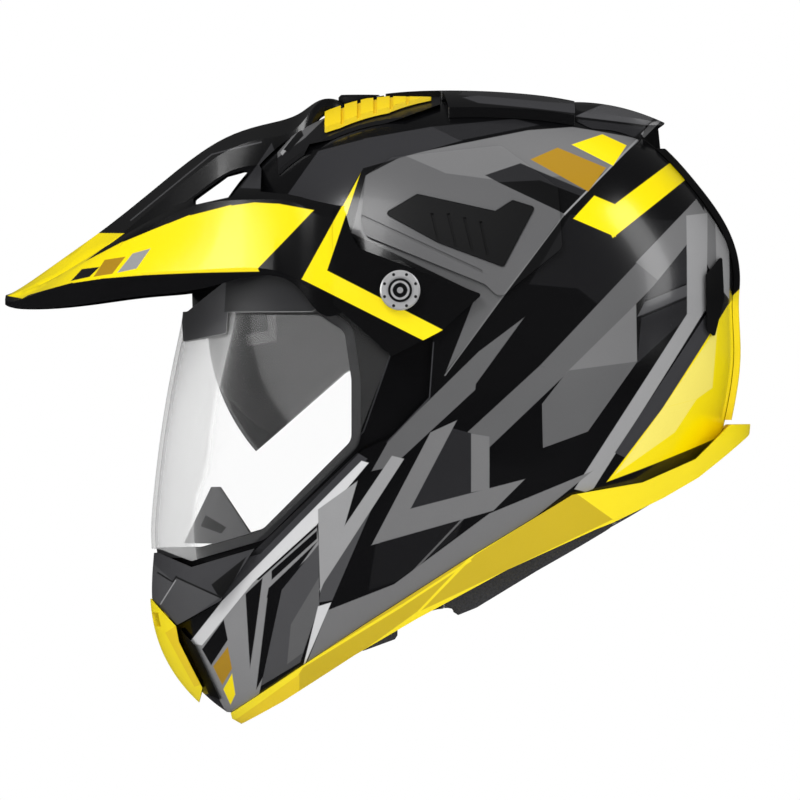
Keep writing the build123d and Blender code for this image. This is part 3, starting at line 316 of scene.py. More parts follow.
FINISHES: dict[str, Finish] = {
    "livery_gloss": Finish(Tone.JET, 0.22, coat=0.25, size=0.0009, livery=SHELL_LIVERY),
    "livery_satin": Finish(Tone.JET, 0.34, coat=0.1, size=0.0009, livery=SHELL_LIVERY),
    "peak_gloss": Finish(Tone.JET, 0.26, coat=0.2, livery=PEAK_LIVERY + ARM_LIVERY,
                         outer_only=True),
    "fairing_gloss": Finish(Tone.JET, 0.24, coat=0.25, livery=FAIRING_LIVERY),
    "spoiler_gloss": Finish(Tone.JET, 0.24, coat=0.25, livery=SPOILER_LIVERY),
    "vent_satin": Finish(Tone.COAL, 0.36, grain=0.1, livery=VENT_LIVERY),
    "black_satin": Finish(Tone.JET, 0.36, grain=0.15, specular=0.4),
    "black_matte": Finish(Tone.JET, 0.55, grain=0.25, specular=0.3),
    "guard_matte": Finish(Tone.SLATE, 0.5, grain=0.25, specular=0.3, livery=GUARD_LIVERY),
    "ridge_satin": Finish(Tone.JET, 0.36, grain=0.1, specular=0.4, livery=RIDGE_LIVERY),
    "trim_satin": Finish(Tone.LEMON, 0.4, coat=0.1, livery=TRIM_LIVERY),
    "slider_satin": Finish(Tone.AMBER, 0.42),
    "deflector_rubber": Finish(Tone.STEEL, 0.55, grain=0.1, livery=DEFLECTOR_LIVERY),
    "rubber": Finish(Tone.PITCH, 0.55, grain=0.1),
    "foam": Finish(Tone.COAL, 0.9, weave=0.5, size=0.003, mottle=0.2),
    "knit": Finish(Tone.SLATE, 0.95, weave=0.7, size=0.0011, mottle=0.25, sewn=True),
    "webbing": Finish(Tone.PITCH, 0.8, weave=0.9, size=0.0012, mottle=0.3),
    "metal": Finish(Tone.METAL, 0.28, metal=1.0),
    "screw_metal": Finish(Tone.METAL, 0.32, metal=0.55, grain=0.15, size=0.0002, screw_face=True),
    "red_satin": Finish(Tone.RED, 0.4),
    "clear": Finish(Tone.CLEAR, 0.04, clear=0.99, livery=SHIELD_FRAME),
    "smoke": Finish(Tone.COAL, 0.06, clear=0.58, livery=SUN_VISOR_TOP),
}

NODE_FINISH: dict[str, str] = {
    "shell": "livery_gloss",
    "side_panel_left": "livery_satin",
    "side_panel_right": "livery_satin",
    "peak": "peak_gloss",
    "base_trim": "trim_satin",
    "chin_vent_cover": "trim_satin",
    "crown_vent_slider_left": "slider_satin",
    "crown_vent_slider_right": "slider_satin",
    "shield": "clear",
    "sun_visor": "smoke",
    "crown_fairing": "fairing_gloss",
    "rear_spoiler": "spoiler_gloss",
    "rear_ridge": "ridge_satin",
    "crown_vent_body_left": "vent_satin",
    "crown_vent_body_right": "vent_satin",
    "side_vent_left": "black_matte",
    "side_vent_right": "black_matte",
    "exhaust_vent_left": "black_matte",
    "exhaust_vent_right": "black_matte",
    "chin_guard": "guard_matte",
    "chin_louvres": "black_matte",
    "chin_vent_shutter": "black_matte",
    "breath_deflector": "deflector_rubber",
    "eyeport_gasket": "rubber",
    "eps_liner": "foam",
    "chin_liner": "foam",
    "chin_curtain": "webbing",
    "strap_left": "webbing",
    "strap_right": "webbing",
    "strap_rivets": "metal",
    "buckle_body": "metal",
    "buckle_tongue": "red_satin",
    "buckle_lever": "red_satin",
    "visor_pivots": "black_matte",
    "visor_slider": "black_matte",
    "shield_base_left": "black_matte",
    "shield_base_right": "black_matte",
    "peak_side_screws": "screw_metal",
    "crest_screw": "black_matte",
}


MIX_FACTOR, MIX_UNDER, MIX_OVER, MIX_RESULT = 0, 6, 7, 2


class Graph:
    """A node tree being built, with short calls for the nodes that the finishes use."""

    def __init__(self, tree: bpy.types.NodeTree) -> None:
        """Start on a tree.

        Args:
            tree: the tree to add to.
        """
        self.tree = tree

    def node(self, kind: str, **settings: object) -> bpy.types.Node:
        """Add one node.

        Args:
            kind: node type.
            **settings: attributes set on it.

        Returns:
            The new node.
        """
        made = self.tree.nodes.new(kind)
        for name, value in settings.items():
            setattr(made, name, value)
        return made

    def feed(self, socket: bpy.types.NodeSocket, value: Value) -> None:
        """Give a socket a constant or another node's output.

        Args:
            socket: the input.
            value: a socket, number or tuple.
        """
        if isinstance(value, bpy.types.NodeSocket):
            self.tree.links.new(value, socket)
        else:
            socket.default_value = value

    def math(self, operation: str, *values: Value) -> bpy.types.NodeSocket:
        """One scalar operation.

        Args:
            operation: Math node operation.
            *values: sockets or numbers.

        Returns:
            Its output.
        """
        made = self.node("ShaderNodeMath", operation=operation)
        for socket, value in zip(made.inputs, values):
            self.feed(socket, value)
        return made.outputs[0]

    def dot(self, vector: bpy.types.NodeSocket, fixed: Triple) -> bpy.types.NodeSocket:
        """Dot product of a vector with a fixed one.

        Args:
            vector: the vector socket.
            fixed: the constant vector.

        Returns:
            The value.
        """
        made = self.node("ShaderNodeVectorMath", operation="DOT_PRODUCT")
        self.feed(made.inputs[0], vector)
        made.inputs[1].default_value = fixed
        return made.outputs["Value"]

    def mix(self, factor: Value, under: Value, over: Value,
            how: str = "MIX") -> bpy.types.NodeSocket:
        """One colour over another by a mask.

        Args:
            factor: the mask.
            under: colour where the mask is 0.
            over: colour where it is 1.
            how: blend type.

        Returns:
            The mixed colour.
        """
        made = self.node("ShaderNodeMix", data_type="RGBA", blend_type=how)
        self.feed(made.inputs[MIX_FACTOR], factor)
        self.feed(made.inputs[MIX_UNDER], under)
        self.feed(made.inputs[MIX_OVER], over)
        return made.outputs[MIX_RESULT]

    def ramp(self, value: Value, low: float, high: float) -> bpy.types.NodeSocket:
        """0 at low to 1 at high, clamped.

        Args:
            value: the socket.
            low: where it is 0.
            high: where it is 1.

        Returns:
            The mask.
        """
        made = self.node("ShaderNodeMapRange")
        self.feed(made.inputs["Value"], value)
        made.inputs["From Min"].default_value = low
        made.inputs["From Max"].default_value = high
        return made.outputs["Result"]


Sockets = Sequence[tuple[str, str]]
PLACE = ("Position", "NodeSocketVector")
NUMBER = "NodeSocketFloat"
COLOUR = "NodeSocketColor"


def new_group(name: str, inputs: Sockets,
              outputs: Sockets) -> tuple[Graph, bpy.types.Node, bpy.types.Node]:
    """A node group with named sockets.

    Args:
        name: group name.
        inputs: (name, socket type) of each input.
        outputs: the same for each output.

    Returns:
        (graph, input node, output node).
    """
    tree = bpy.data.node_groups.new(name, "ShaderNodeTree")
    for label, kind in inputs:
        tree.interface.new_socket(name=label, in_out="INPUT", socket_type=kind)
    for label, kind in outputs:
        tree.interface.new_socket(name=label, in_out="OUTPUT", socket_type=kind)
    graph = Graph(tree)
    return graph, graph.node("NodeGroupInput"), graph.node("NodeGroupOutput")


def rgba(tone: Tone) -> Quad:
    """A tone with full alpha.

    Args:
        tone: the tone.

    Returns:
        Four values.
    """
    return (*tone.value, 1.0)


EDGE_SOFTNESS = 0.00022


def livery_group(name: str, patches: Sequence[Patch]) -> bpy.types.NodeTree:
    """Group that paints convex side-view patches over a base colour.

    Args:
        name: group name.
        patches: blocks of colour, painted in order.

    Returns:
        The group, from Position and Base to Color and Painted.
    """
    graph, entry, leave = new_group(name, [PLACE, ("Base", COLOUR)],
                                    [("Color", COLOUR), ("Painted", NUMBER)])
    colour = entry.outputs["Base"]
    painted = 0.0
    for patch in patches:
        corners = [on_side(corner) for corner in patch.corners]
        area = sum(
            corners[i - 1][0] * corners[i][1] - corners[i][0] * corners[i - 1][1]
            for i in range(len(corners))
        )
        hand = 1.0 if area > 0 else -1.0
        inside = None
        for i, (x, z) in enumerate(corners):
            px, pz = corners[i - 1]
            length = math.hypot(x - px, z - pz)
            normal = (-(z - pz) / length * hand, 0.0, (x - px) / length * hand)
            distance = graph.math(
                "SUBTRACT", graph.dot(entry.outputs["Position"], normal),
                normal[0] * px + normal[2] * pz,
            )
            inside = distance if inside is None else graph.math("MINIMUM", inside, distance)
        edge = graph.ramp(inside, -EDGE_SOFTNESS, EDGE_SOFTNESS)
        colour = graph.mix(edge, colour, rgba(patch.tone))
        painted = graph.math("MAXIMUM", painted, edge)
    graph.feed(leave.inputs["Color"], colour)
    graph.feed(leave.inputs["Painted"], painted)
    return graph.tree


GRAIN_DETAIL = 3.0
BROAD_SCALE = 30.0
# Share of painted shade in the weave's hollows.
KNIT_SHADE = 0.6


def relief_group() -> bpy.types.NodeTree:
    """Group for fine moulded or knitted relief, a random uneven tone, and painted shade in the
    weave's hollows.

    Returns:
        The group, from Position, Size, Grain, Weave and Mottle to Height and Shade.
    """
    graph, entry, leave = new_group(
        "surface_relief",
        [PLACE, ("Size", NUMBER), ("Grain", NUMBER), ("Weave", NUMBER), ("Mottle", NUMBER)],
        [("Height", NUMBER), ("Shade", COLOUR)],
    )
    scale = graph.math("DIVIDE", 1.0, entry.outputs["Size"])
    noise = graph.node("ShaderNodeTexNoise")
    graph.feed(noise.inputs["Vector"], entry.outputs["Position"])
    graph.feed(noise.inputs["Scale"], scale)
    noise.inputs["Detail"].default_value = GRAIN_DETAIL
    broad = graph.node("ShaderNodeTexNoise")
    graph.feed(broad.inputs["Vector"], entry.outputs["Position"])
    broad.inputs["Scale"].default_value = BROAD_SCALE
    cells = graph.node("ShaderNodeTexVoronoi", feature="F1")
    graph.feed(cells.inputs["Vector"], entry.outputs["Position"])
    graph.feed(cells.inputs["Scale"], scale)
    rough = graph.math("MULTIPLY", noise.outputs[0], entry.outputs["Grain"])
    knit = graph.math("MULTIPLY", cells.outputs["Distance"], entry.outputs["Weave"])
    graph.feed(leave.inputs["Height"], graph.math("SUBTRACT", rough, knit))
    uneven = graph.math("MULTIPLY", graph.math("ADD", noise.outputs[0], broad.outputs[0]),
                        entry.outputs["Mottle"])
    light = graph.math("SUBTRACT", graph.math("ADD", 1.0, entry.outputs["Mottle"]), uneven)
    # Painted shade: the weave's hollows are darkened.
    shade = graph.math("SUBTRACT", light, graph.math("MULTIPLY", knit, KNIT_SHADE))
    tint = graph.node("ShaderNodeCombineColor")
    for channel in tint.inputs:
        graph.feed(channel, shade)
    graph.feed(leave.inputs["Shade"], tint.outputs[0])
    return graph.tree


SCREW_MIDDLE: Point = (400.0, 292.0)
SCREW_DOTS = 8
DOT_REACH = 0.0092
DOT_RADIUS = 0.00085
DOT_BLUR = 0.15
FACE_RADII = (0.0017, 0.0040, 0.0052, 0.0066)
RING_BLUR = 0.0001


def screw_face_group() -> bpy.types.NodeTree:
    """Group for a side screw's face: a dark slotted middle, a bright ring and small drilled dots
    painted dark as the shade in their holes.

    Returns:
        The group, from Position to Dark.
    """
    graph, entry, leave = new_group("screw_face", [PLACE], [("Dark", NUMBER)])
    split = graph.node("ShaderNodeSeparateXYZ")
    graph.feed(split.inputs[0], entry.outputs["Position"])
    x, z = on_side(SCREW_MIDDLE)
    right = graph.math("SUBTRACT", split.outputs["X"], x)
    up = graph.math("SUBTRACT", split.outputs["Z"], z)
    reach = graph.math("SQRT", graph.math("ADD", graph.math("MULTIPLY", right, right),
                                          graph.math("MULTIPLY", up, up)))
    pitch = 2 * math.pi / SCREW_DOTS
    turn = graph.math("ADD", graph.math("ARCTAN2", up, right), math.pi)
    folded = graph.math("SUBTRACT", graph.math("MODULO", turn, pitch), pitch / 2)
    along = graph.math("SUBTRACT", graph.math("MULTIPLY", reach, graph.math("COSINE", folded)),
                       DOT_REACH)
    aside = graph.math("MULTIPLY", reach, graph.math("SINE", folded))
    near = graph.math("SQRT", graph.math("ADD", graph.math("MULTIPLY", along, along),
                                         graph.math("MULTIPLY", aside, aside)))
    # Painted shade: the drilled dots are drawn dark, standing for the shade in their holes.
    dark = graph.ramp(near, DOT_RADIUS * (1 + DOT_BLUR), DOT_RADIUS * (1 - DOT_BLUR))
    core, inner, ring, middle = FACE_RADII
    for low, high in ((core, inner), (ring, middle)):
        band = graph.math("MULTIPLY", graph.ramp(reach, low - RING_BLUR, low + RING_BLUR),
                          graph.ramp(reach, high + RING_BLUR, high - RING_BLUR))
        dark = graph.math("MAXIMUM", dark, band)
    graph.feed(leave.inputs["Dark"], dark)
    return graph.tree


SEAM_ATTRIBUTE = "seam"
CREASE_EDGES = (0.72, 0.95)
THREAD_OUTER = (0.30, 0.40)
THREAD_INNER = (0.62, 0.52)
STITCH_SCALE = 280.0


def stitch_group() -> bpy.types.NodeTree:
    """Group for sewn channels: painted shade along the crease, with short thread stitches beside
    it.

    Returns:
        The group, from Position and Seam to Crease and Thread.
    """
    graph, entry, leave = new_group("stitches", [PLACE, ("Seam", NUMBER)],
                                    [("Crease", NUMBER), ("Thread", NUMBER)])
    # Painted shade along the channel's crease.
    crease = graph.ramp(entry.outputs["Seam"], *CREASE_EDGES)
    near = graph.math("MULTIPLY", graph.ramp(entry.outputs["Seam"], *THREAD_OUTER),
                      graph.ramp(entry.outputs["Seam"], *THREAD_INNER))
    dash = graph.node("ShaderNodeTexChecker")
    graph.feed(dash.inputs["Vector"], entry.outputs["Position"])
    dash.inputs["Scale"].default_value = STITCH_SCALE
    graph.feed(leave.inputs["Crease"], crease)
    graph.feed(leave.inputs["Thread"], graph.math("MULTIPLY", near, dash.outputs["Fac"]))
    return graph.tree


COAT_ROUGHNESS = 0.08
BUMP_STRENGTH = 0.5
BUMP_SHARE = 0.5
UP_SHARE = 0.6
OUTWARD_FROM = 0.12
SHEET_IOR = 1.3
SHEET_SHEEN = 0.4
PAINTED_ROUGHNESS = 0.4


class Paintshop:
    """Makes each finish's material once and puts it on pieces."""

    def __init__(self) -> None:
        """Prepare the shared node groups."""
        self.relief = relief_group()
        self.screw_face = screw_face_group()
        self.stitches = stitch_group()
        self.liveries: dict[tuple[Patch, ...], bpy.types.NodeTree] = {}
        self.made: dict[str, bpy.types.Material] = {}

    def livery(self, patches: tuple[Patch, ...]) -> bpy.types.NodeTree:
        """The group for one table of paint and painted light.

        Args:
            patches: its blocks.

        Returns:
            The node group.
        """
        if patches not in self.liveries:
            self.liveries[patches] = livery_group(f"livery_{len(self.liveries)}", patches)
        return self.liveries[patches]

    def material(self, name: str) -> bpy.types.Material:
        """The material of a finish.

        Args:
            name: key in FINISHES.

        Returns:
            The material.
        """
        if name in self.made:
            return self.made[name]
        finish = FINISHES[name]
        made = bpy.data.materials.new(name)
        made.use_nodes = True
        graph = Graph(made.node_tree)
        shader = made.node_tree.nodes["Principled BSDF"]
        shader.inputs["Roughness"].default_value = finish.roughness
        shader.inputs["Metallic"].default_value = finish.metal
        shader.inputs["Specular IOR Level"].default_value = finish.specular
        shader.inputs["Coat Weight"].default_value = finish.coat
        shader.inputs["Coat Roughness"].default_value = COAT_ROUGHNESS
        where = graph.node("ShaderNodeTexCoord").outputs["Object"]
        colour = rgba(finish.tone)
        painted = 0.0
        if finish.livery:
            paint = graph.node("ShaderNodeGroup", node_tree=self.livery(finish.livery))
            graph.feed(paint.inputs["Position"], where)
            paint.inputs["Base"].default_value = rgba(finish.tone)
            colour = paint.outputs["Color"]
            painted = paint.outputs["Painted"]
            if finish.outer_only:
                colour = self.outer(graph, where, colour, finish.tone)
        relief = graph.node("ShaderNodeGroup", node_tree=self.relief)
        graph.feed(relief.inputs["Position"], where)
        relief.inputs["Size"].default_value = finish.size
        relief.inputs["Grain"].default_value = finish.grain
        relief.inputs["Weave"].default_value = finish.weave
        relief.inputs["Mottle"].default_value = finish.mottle
        colour = graph.mix(1.0, colour, relief.outputs["Shade"], "MULTIPLY")
        if finish.screw_face:
            face = graph.node("ShaderNodeGroup", node_tree=self.screw_face)
            graph.feed(face.inputs["Position"], where)
            colour = graph.mix(face.outputs["Dark"], colour, rgba(Tone.JET))
            bare = graph.math("SUBTRACT", 1.0, face.outputs["Dark"])
            graph.feed(shader.inputs["Metallic"], graph.math("MULTIPLY", bare, finish.metal))
        if finish.sewn:
            colour = self.sew(graph, where, colour)
        graph.feed(shader.inputs["Base Color"], colour)
        if finish.grain or finish.weave:
            bump = graph.node("ShaderNodeBump")
            bump.inputs["Distance"].default_value = finish.size * BUMP_SHARE
            bump.inputs["Strength"].default_value = BUMP_STRENGTH
            graph.feed(bump.inputs["Height"], relief.outputs["Height"])
            graph.feed(shader.inputs["Normal"], bump.outputs["Normal"])
        if finish.clear:
            self.see_through(graph, shader, finish, painted)
        self.made[name] = made
        return made

    def outer(self, graph: Graph, where: bpy.types.NodeSocket, colour: Value,
              tone: Tone) -> bpy.types.NodeSocket:
        """Keep a livery to faces that look outwards or up.

        Args:
            graph: the material's graph.
            where: object position socket.
            colour: the painted patches' colour.
            tone: colour of the inner faces.

        Returns:
            The masked colour socket.
        """
        normal = graph.node("ShaderNodeNewGeometry").outputs["True Normal"]
        up = graph.dot(normal, UP)
        side = graph.math("SIGN", graph.dot(where, ACROSS))
        out = graph.math("MULTIPLY", graph.dot(normal, ACROSS), side)
        facing = graph.math("ADD", graph.math("MULTIPLY", up, UP_SHARE), out)
        return graph.mix(graph.math("GREATER_THAN", facing, OUTWARD_FROM), rgba(tone), colour)

    def sew(self, graph: Graph, where: bpy.types.NodeSocket,
            colour: Value) -> bpy.types.NodeSocket:
        """Add painted shade along the creases and thread along a pad's sewn channels.

        Args:
            graph: the material's graph.
            where: object position socket.
            colour: the fabric's colour.

        Returns:
            The colour with its seams.
        """
        seam = graph.node("ShaderNodeAttribute", attribute_name=SEAM_ATTRIBUTE)
        stitches = graph.node("ShaderNodeGroup", node_tree=self.stitches)
        graph.feed(stitches.inputs["Position"], where)
        graph.feed(stitches.inputs["Seam"], seam.outputs["Fac"])
        # Painted shade: the crease is darkened to coal.
        dark = graph.mix(stitches.outputs["Crease"], colour, rgba(Tone.COAL))
        return graph.mix(stitches.outputs["Thread"], dark, rgba(Tone.SILVER))

    def see_through(self, graph: Graph, shader: bpy.types.Node, finish: Finish,
                    painted: Value) -> None:
        """Make a thin clear sheet, with paint that hides and more sheen at a slant.

        Args:
            graph: the material's graph.
            shader: its Principled node.
            finish: the finish.
            painted: mask of opaque paint.
        """
        fresnel = graph.node("ShaderNodeFresnel")
        fresnel.inputs["IOR"].default_value = SHEET_IOR
        graph.feed(shader.inputs["Roughness"],
                   graph.math("MULTIPLY_ADD", painted, PAINTED_ROUGHNESS, finish.roughness))
        body = graph.math("MULTIPLY_ADD", fresnel.outputs[0], SHEET_SHEEN, 1.0 - finish.clear)
        graph.feed(shader.inputs["Alpha"], graph.math("MAXIMUM", body, painted))

    def paint(self, obj: bpy.types.Object, name: str) -> None:
        """Put a finish on a piece.

        Args:
            obj: the piece.
            name: key in FINISHES.
        """
        obj.data.materials.clear()
        obj.data.materials.append(self.material(name))


MERGE = 1e-5
SHARP_ANGLE = math.radians(28)


def finish_cad(shop: Paintshop) -> None:
    """Give every hard CAD node its finish and smooth shading between its sharp edges.

    Args:
        shop: the paintshop.
    """
    for name, finish in NODE_FINISH.items():
        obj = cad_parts[name]
        shop.paint(obj, finish)
        obj.data.polygons.foreach_set("use_smooth", [True] * len(obj.data.polygons))
        weld = obj.modifiers.new("weld", "WELD")
        weld.merge_threshold = MERGE
        split = obj.modifiers.new("sharp_edges", "EDGE_SPLIT")
        split.split_angle = SHARP_ANGLE
        log.info("finished %s", name)


@dataclass(frozen=True)
class Channel:
    """A sewn channel: where a pad meets a plane."""

    normal: Triple
    offset: float


@dataclass(frozen=True)
class Pad:
    """One quilted pad and the room it fills, sizes in metres."""

    node: str
    channels: tuple[Channel, ...]
    voxel: float = 0.0045
    drawn_in: float = 0.0015
    cap: float = 0.006
    pressure: float = 12.0
    plump: float = 0.8
    channel_depth: float = 0.0022
    channel_width: float = 0.0032
    fill: float = 0.75


CHEEK_CHANNELS = (Channel((0.64, 0.0, 0.77), 0.060), Channel((0.77, 0.0, -0.64), -0.034))
PADS: tuple[Pad, ...] = (
    Pad("crown_pad", (Channel((0.0, 1.0, 0.0), -0.034), Channel((0.0, 1.0, 0.0), 0.034),
                      Channel((1.0, 0.0, 0.0), -0.030), Channel((1.0, 0.0, 0.0), 0.062)),
        voxel=0.005),
    Pad("cheek_pad_left", CHEEK_CHANNELS),
    Pad("cheek_pad_right", CHEEK_CHANNELS),
    Pad("neck_roll", (Channel((0.85, 0.52, 0.0), 0.030), Channel((0.85, -0.52, 0.0), 0.030),
                      Channel((0.0, 1.0, 0.0), 0.0)),
        voxel=0.0032, drawn_in=0.001, plump=0.95),
)
SIM_FRAMES = 20
MARGIN = 0.0002
SMOOTHING = 0.5
SMOOTH_PASSES = 2
HELD_FROM = 0.5


class Upholstery:
    """Makes the lining's quilted pads from the room their solids hold."""

    def __init__(self, shop: Paintshop) -> None:
        """Start with a paintshop.

        Args:
            shop: gives the fabric.
        """
        self.shop = shop

    def build(self, pad: Pad) -> None:
        """Make one pad.

        Args:
            pad: its plan.
        """
        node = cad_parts[pad.node]
        mesh = self.merged(node)
        tree = BVHTree.FromPolygons([v.co for v in mesh.vertices],
                                    [tuple(p.vertices) for p in mesh.polygons])
        obj = bpy.data.objects.new(f"{pad.node}_fabric", mesh)
        bpy.context.scene.collection.objects.link(obj)
        remesh = obj.modifiers.new("remesh", "REMESH")
        remesh.mode = "VOXEL"
        remesh.voxel_size = pad.voxel
        self.bake(obj)
        start = self.draw_in(obj, pad)
        self.inflate(obj, pad, start)
        self.refine(obj, pad, tree)
        self.mark_channels(obj, pad)
        self.shop.paint(obj, "knit")
        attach(obj, "helmet")
        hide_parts(pad.node)
        log.info("quilted %s with %d faces", pad.node, len(obj.data.polygons))

    def merged(self, node: bpy.types.Object) -> bpy.types.Mesh:
        """A merged copy of a solid's mesh.

        Args:
            node: the CAD node.

        Returns:
            The new mesh.
        """
        work = bmesh.new()
        work.from_mesh(node.data)
        bmesh.ops.remove_doubles(work, verts=work.verts, dist=MERGE)
        mesh = bpy.data.meshes.new(f"{node.name}_fabric")
        work.to_mesh(mesh)
        work.free()
        return mesh

    def bake(self, obj: bpy.types.Object) -> None:
        """Apply an object's modifiers to its mesh.

        Args:
            obj: the object.
        """
        graph = bpy.context.evaluated_depsgraph_get()
        mesh = bpy.data.meshes.new_from_object(obj.evaluated_get(graph))
        obj.modifiers.clear()
        obj.data = mesh

    def nearness(self, pad: Pad, place: Vector) -> float:
        """How near a point is to a pad's channels, 1 on one.

        Args:
            pad: the pad.
            place: the point.

        Returns:
            A value from 0 to 1.
        """
        gaps = [abs(place.dot(Vector(c.normal)) - c.offset) for c in pad.channels]
        return math.exp(-((min(gaps) / pad.channel_width) ** 2))

    def draw_in(self, obj: bpy.types.Object, pad: Pad) -> list[Vector]:
        """Start the pad slightly smaller than its room, deeper along the channels.

        Args:
            obj: the remeshed pad.
            pad: its plan.

        Returns:
            The starting places.
        """
        work = bmesh.new()
        work.from_mesh(obj.data)
        self.smooth(work)
        work.normal_update()
        for vert in work.verts:
            depth = pad.drawn_in + pad.channel_depth * self.nearness(pad, vert.co)
            vert.co -= vert.normal * depth
        for _ in range(SMOOTH_PASSES):
            self.smooth(work)
        places = [vert.co.copy() for vert in work.verts]
        work.to_mesh(obj.data)
        work.free()
        return places

    def smooth(self, work: bmesh.types.BMesh) -> None:
        """Smooth a mesh once.

        Args:
            work: the mesh.
        """
        bmesh.ops.smooth_vert(work, verts=work.verts, factor=SMOOTHING, use_axis_x=True,
                              use_axis_y=True, use_axis_z=True)

    def inflate(self, obj: bpy.types.Object, pad: Pad, start: list[Vector]) -> None:
        """Swell the pad as cloth, held along its channels.

        Args:
            obj: the pad.
            pad: its plan.
            start: the starting places.
        """
        held = obj.vertex_groups.new(name="held")
        for i, place in enumerate(start):
            weight = self.nearness(pad, place)
            if weight > HELD_FROM:
                held.add([i], weight, "REPLACE")
        cloth = obj.modifiers.new("cloth", "CLOTH")
        cloth.settings.use_pressure = True
        cloth.settings.uniform_pressure_force = pad.pressure
        cloth.settings.effector_weights.gravity = 0.0
        cloth.settings.vertex_group_mass = held.name
        cloth.point_cache.frame_start = 1
        cloth.point_cache.frame_end = SIM_FRAMES
        scene = bpy.context.scene
        for step in range(1, SIM_FRAMES + 1):
            scene.frame_set(step)
        self.bake(obj)
        scene.frame_set(1)
        moves = [(vert.co - place).length for vert, place in zip(obj.data.vertices, start)]
        swell = MM_PER_METRE * sum(moves) / len(moves)
        log.info("%s swelled by %.2f mm on average", pad.node, swell)
        for vert, place in zip(obj.data.vertices, start):
            move = vert.co - place
            if move.length > pad.cap:
                vert.co = place + move * (pad.cap / move.length)
        obj.vertex_groups.clear()

    def refine(self, obj: bpy.types.Object, pad: Pad, tree: BVHTree) -> None:
        """Subdivide once and keep the pad within its room.

        Args:
            obj: the pad.
            pad: its plan.
            tree: its solid.
        """
        finer = obj.modifiers.new("finer", "SUBSURF")
        finer.levels = finer.render_levels = 1
        self.bake(obj)
        for vert in obj.data.vertices:
            near, normal, _, _ = tree.find_nearest(vert.co)
            wall = near - normal * MARGIN
            if (vert.co - wall).dot(normal) > 0:
                vert.co = wall
            else:
                vert.co += (wall - vert.co) * pad.plump * (1.0 - self.nearness(pad, vert.co))
        obj.data.polygons.foreach_set("use_smooth", [True] * len(obj.data.polygons))
        obj.data.update()

    def mark_channels(self, obj: bpy.types.Object, pad: Pad) -> None:
        """Store how near each point is to a channel, for the stitching.

        Args:
            obj: the pad.
            pad: its plan.
        """
        values = [self.nearness(pad, vert.co) for vert in obj.data.vertices]
        seam = obj.data.attributes.new(SEAM_ATTRIBUTE, "FLOAT", "POINT")
        seam.data.foreach_set("value", values)


@dataclass(frozen=True)
class Lamp:
    """One soft box: its middle and size in metres, and its watts."""

    name: str
    place: Triple
    size: Point
    power: float
    mirrored: bool = False


LAMPS: tuple[Lamp, ...] = (
    Lamp("key", (-0.9, -1.3, 1.5), (0.9, 0.9), 18, mirrored=True),
    Lamp("fill", (0.7, -1.9, 0.3), (1.4, 1.4), 13),
    Lamp("top", (0.1, 0.2, 1.6), (1.6, 1.0), 9),
    Lamp("front", (-1.6, -0.1, 0.4), (0.8, 1.0), 6, mirrored=True),
    Lamp("back", (1.4, -0.6, 0.9), (0.5, 1.2), 6, mirrored=True),
    Lamp("far", (0.4, 1.9, 0.5), (1.4, 1.4), 12),
)


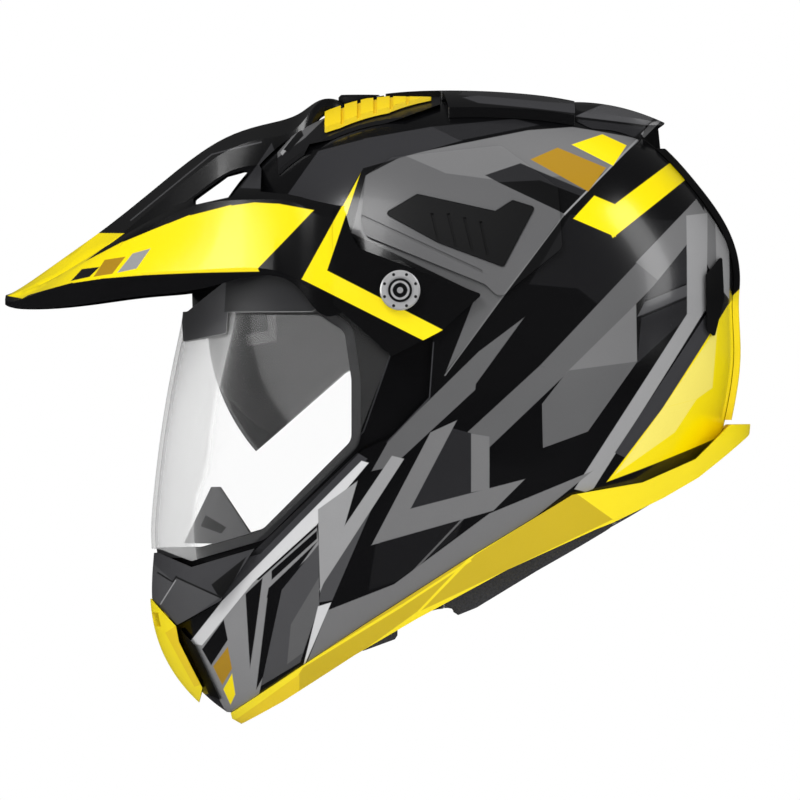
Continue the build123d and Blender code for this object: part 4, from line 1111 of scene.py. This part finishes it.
@dataclass(frozen=True)
class Studio:
    """Camera, lamps, floor and backdrop, in metres."""

    middle: Point = (-0.0389, 0.111)
    distance: float = 8.0
    frame_width: float = 0.4442
    sensor: float = 0.036
    reach: float = 50.0
    aim: Triple = (0.0, 0.0, 0.12)
    floor_height: float = -0.4
    floor_size: float = 20.0
    ambient: float = 0.30
    mirrored_ambient: float = 0.05

    def build(self) -> None:
        """Put up the camera, lamps, floor and backdrop."""
        data = bpy.data.cameras.new("camera")
        data.sensor_width = self.sensor * MM_PER_METRE
        data.lens = self.sensor * MM_PER_METRE * self.distance / self.frame_width
        data.clip_end = self.reach
        camera = bpy.data.objects.new("camera", data)
        bpy.context.collection.objects.link(camera)
        camera.location = (self.middle[0], -self.distance, self.middle[1])
        camera.rotation_euler = (math.pi / 2, 0.0, 0.0)
        bpy.context.scene.camera = camera
        for lamp in LAMPS:
            self.hang(lamp)
        self.floor()
        self.world()
        bpy.context.scene.view_settings.view_transform = "Standard"

    def hang(self, lamp: Lamp) -> None:
        """Put up one soft box, aimed at the helmet.

        Args:
            lamp: its plan.
        """
        data = bpy.data.lights.new(lamp.name, "AREA")
        data.shape = "RECTANGLE"
        data.size, data.size_y = lamp.size
        data.energy = lamp.power
        box = bpy.data.objects.new(lamp.name, data)
        bpy.context.collection.objects.link(box)
        box.location = lamp.place
        box.visible_glossy = lamp.mirrored
        way = Vector(self.aim) - Vector(lamp.place)
        box.rotation_euler = way.to_track_quat("-Z", "Y").to_euler()

    def floor(self) -> None:
        """Lay a pale floor well below the helmet, clear from beneath."""
        mesh = bpy.data.meshes.new("floor")
        work = bmesh.new()
        bmesh.ops.create_grid(work, x_segments=1, y_segments=1, size=self.floor_size)
        work.to_mesh(mesh)
        work.free()
        floor = bpy.data.objects.new("floor", mesh)
        floor.location = (0.0, 0.0, self.floor_height)
        bpy.context.collection.objects.link(floor)
        made = bpy.data.materials.new("floor")
        made.use_nodes = True
        graph = Graph(made.node_tree)
        shader = made.node_tree.nodes["Principled BSDF"]
        shader.inputs["Roughness"].default_value = 1.0
        paths = graph.node("ShaderNodeLightPath")
        graph.feed(shader.inputs["Base Color"], graph.mix(paths.outputs["Is Glossy Ray"],
                                                          rgba(Tone.PAPER), rgba(Tone.SLATE)))
        glow = graph.node("ShaderNodeEmission")
        glow.inputs["Color"].default_value = WHITE
        lit = self.either(graph, paths.outputs["Is Camera Ray"], shader, glow)
        below = graph.node("ShaderNodeBsdfTransparent")
        back = graph.node("ShaderNodeNewGeometry").outputs["Backfacing"]
        final = self.either(graph, back, lit, below)
        graph.feed(made.node_tree.nodes["Material Output"].inputs["Surface"], final.outputs[0])
        mesh.materials.append(made)

    def either(self, graph: Graph, factor: Value, first: bpy.types.Node,
               second: bpy.types.Node) -> bpy.types.Node:
        """Mix two shaders.

        Args:
            graph: the material's graph.
            factor: 0 for the first, 1 for the second.
            first: shader node.
            second: shader node.

        Returns:
            The mix node.
        """
        mix = graph.node("ShaderNodeMixShader")
        graph.feed(mix.inputs[0], factor)
        graph.feed(mix.inputs[1], first.outputs[0])
        graph.feed(mix.inputs[2], second.outputs[0])
        return mix

    def world(self) -> None:
        """White behind the helmet, dimmer in its light and reflections."""
        world = bpy.data.worlds.new("studio")
        world.use_nodes = True
        bpy.context.scene.world = world
        graph = Graph(world.node_tree)
        paths = graph.node("ShaderNodeLightPath")
        seen = graph.math("MAXIMUM", paths.outputs["Is Camera Ray"],
                          paths.outputs["Is Transmission Ray"])
        gloss = graph.math("MULTIPLY_ADD", paths.outputs["Is Glossy Ray"],
                           self.mirrored_ambient - self.ambient, self.ambient)
        back = world.node_tree.nodes["Background"]
        graph.feed(back.inputs["Strength"], graph.math("MAXIMUM", seen, gloss))
        back.inputs["Color"].default_value = WHITE


def main() -> None:
    """Build the looks in order."""
    logging.basicConfig(level=logging.INFO)
    shop = Paintshop()
    finish_cad(shop)
    upholstery = Upholstery(shop)
    for pad in PADS:
        upholstery.build(pad)
    Studio().build()


if __name__ == "__main__":
    main()
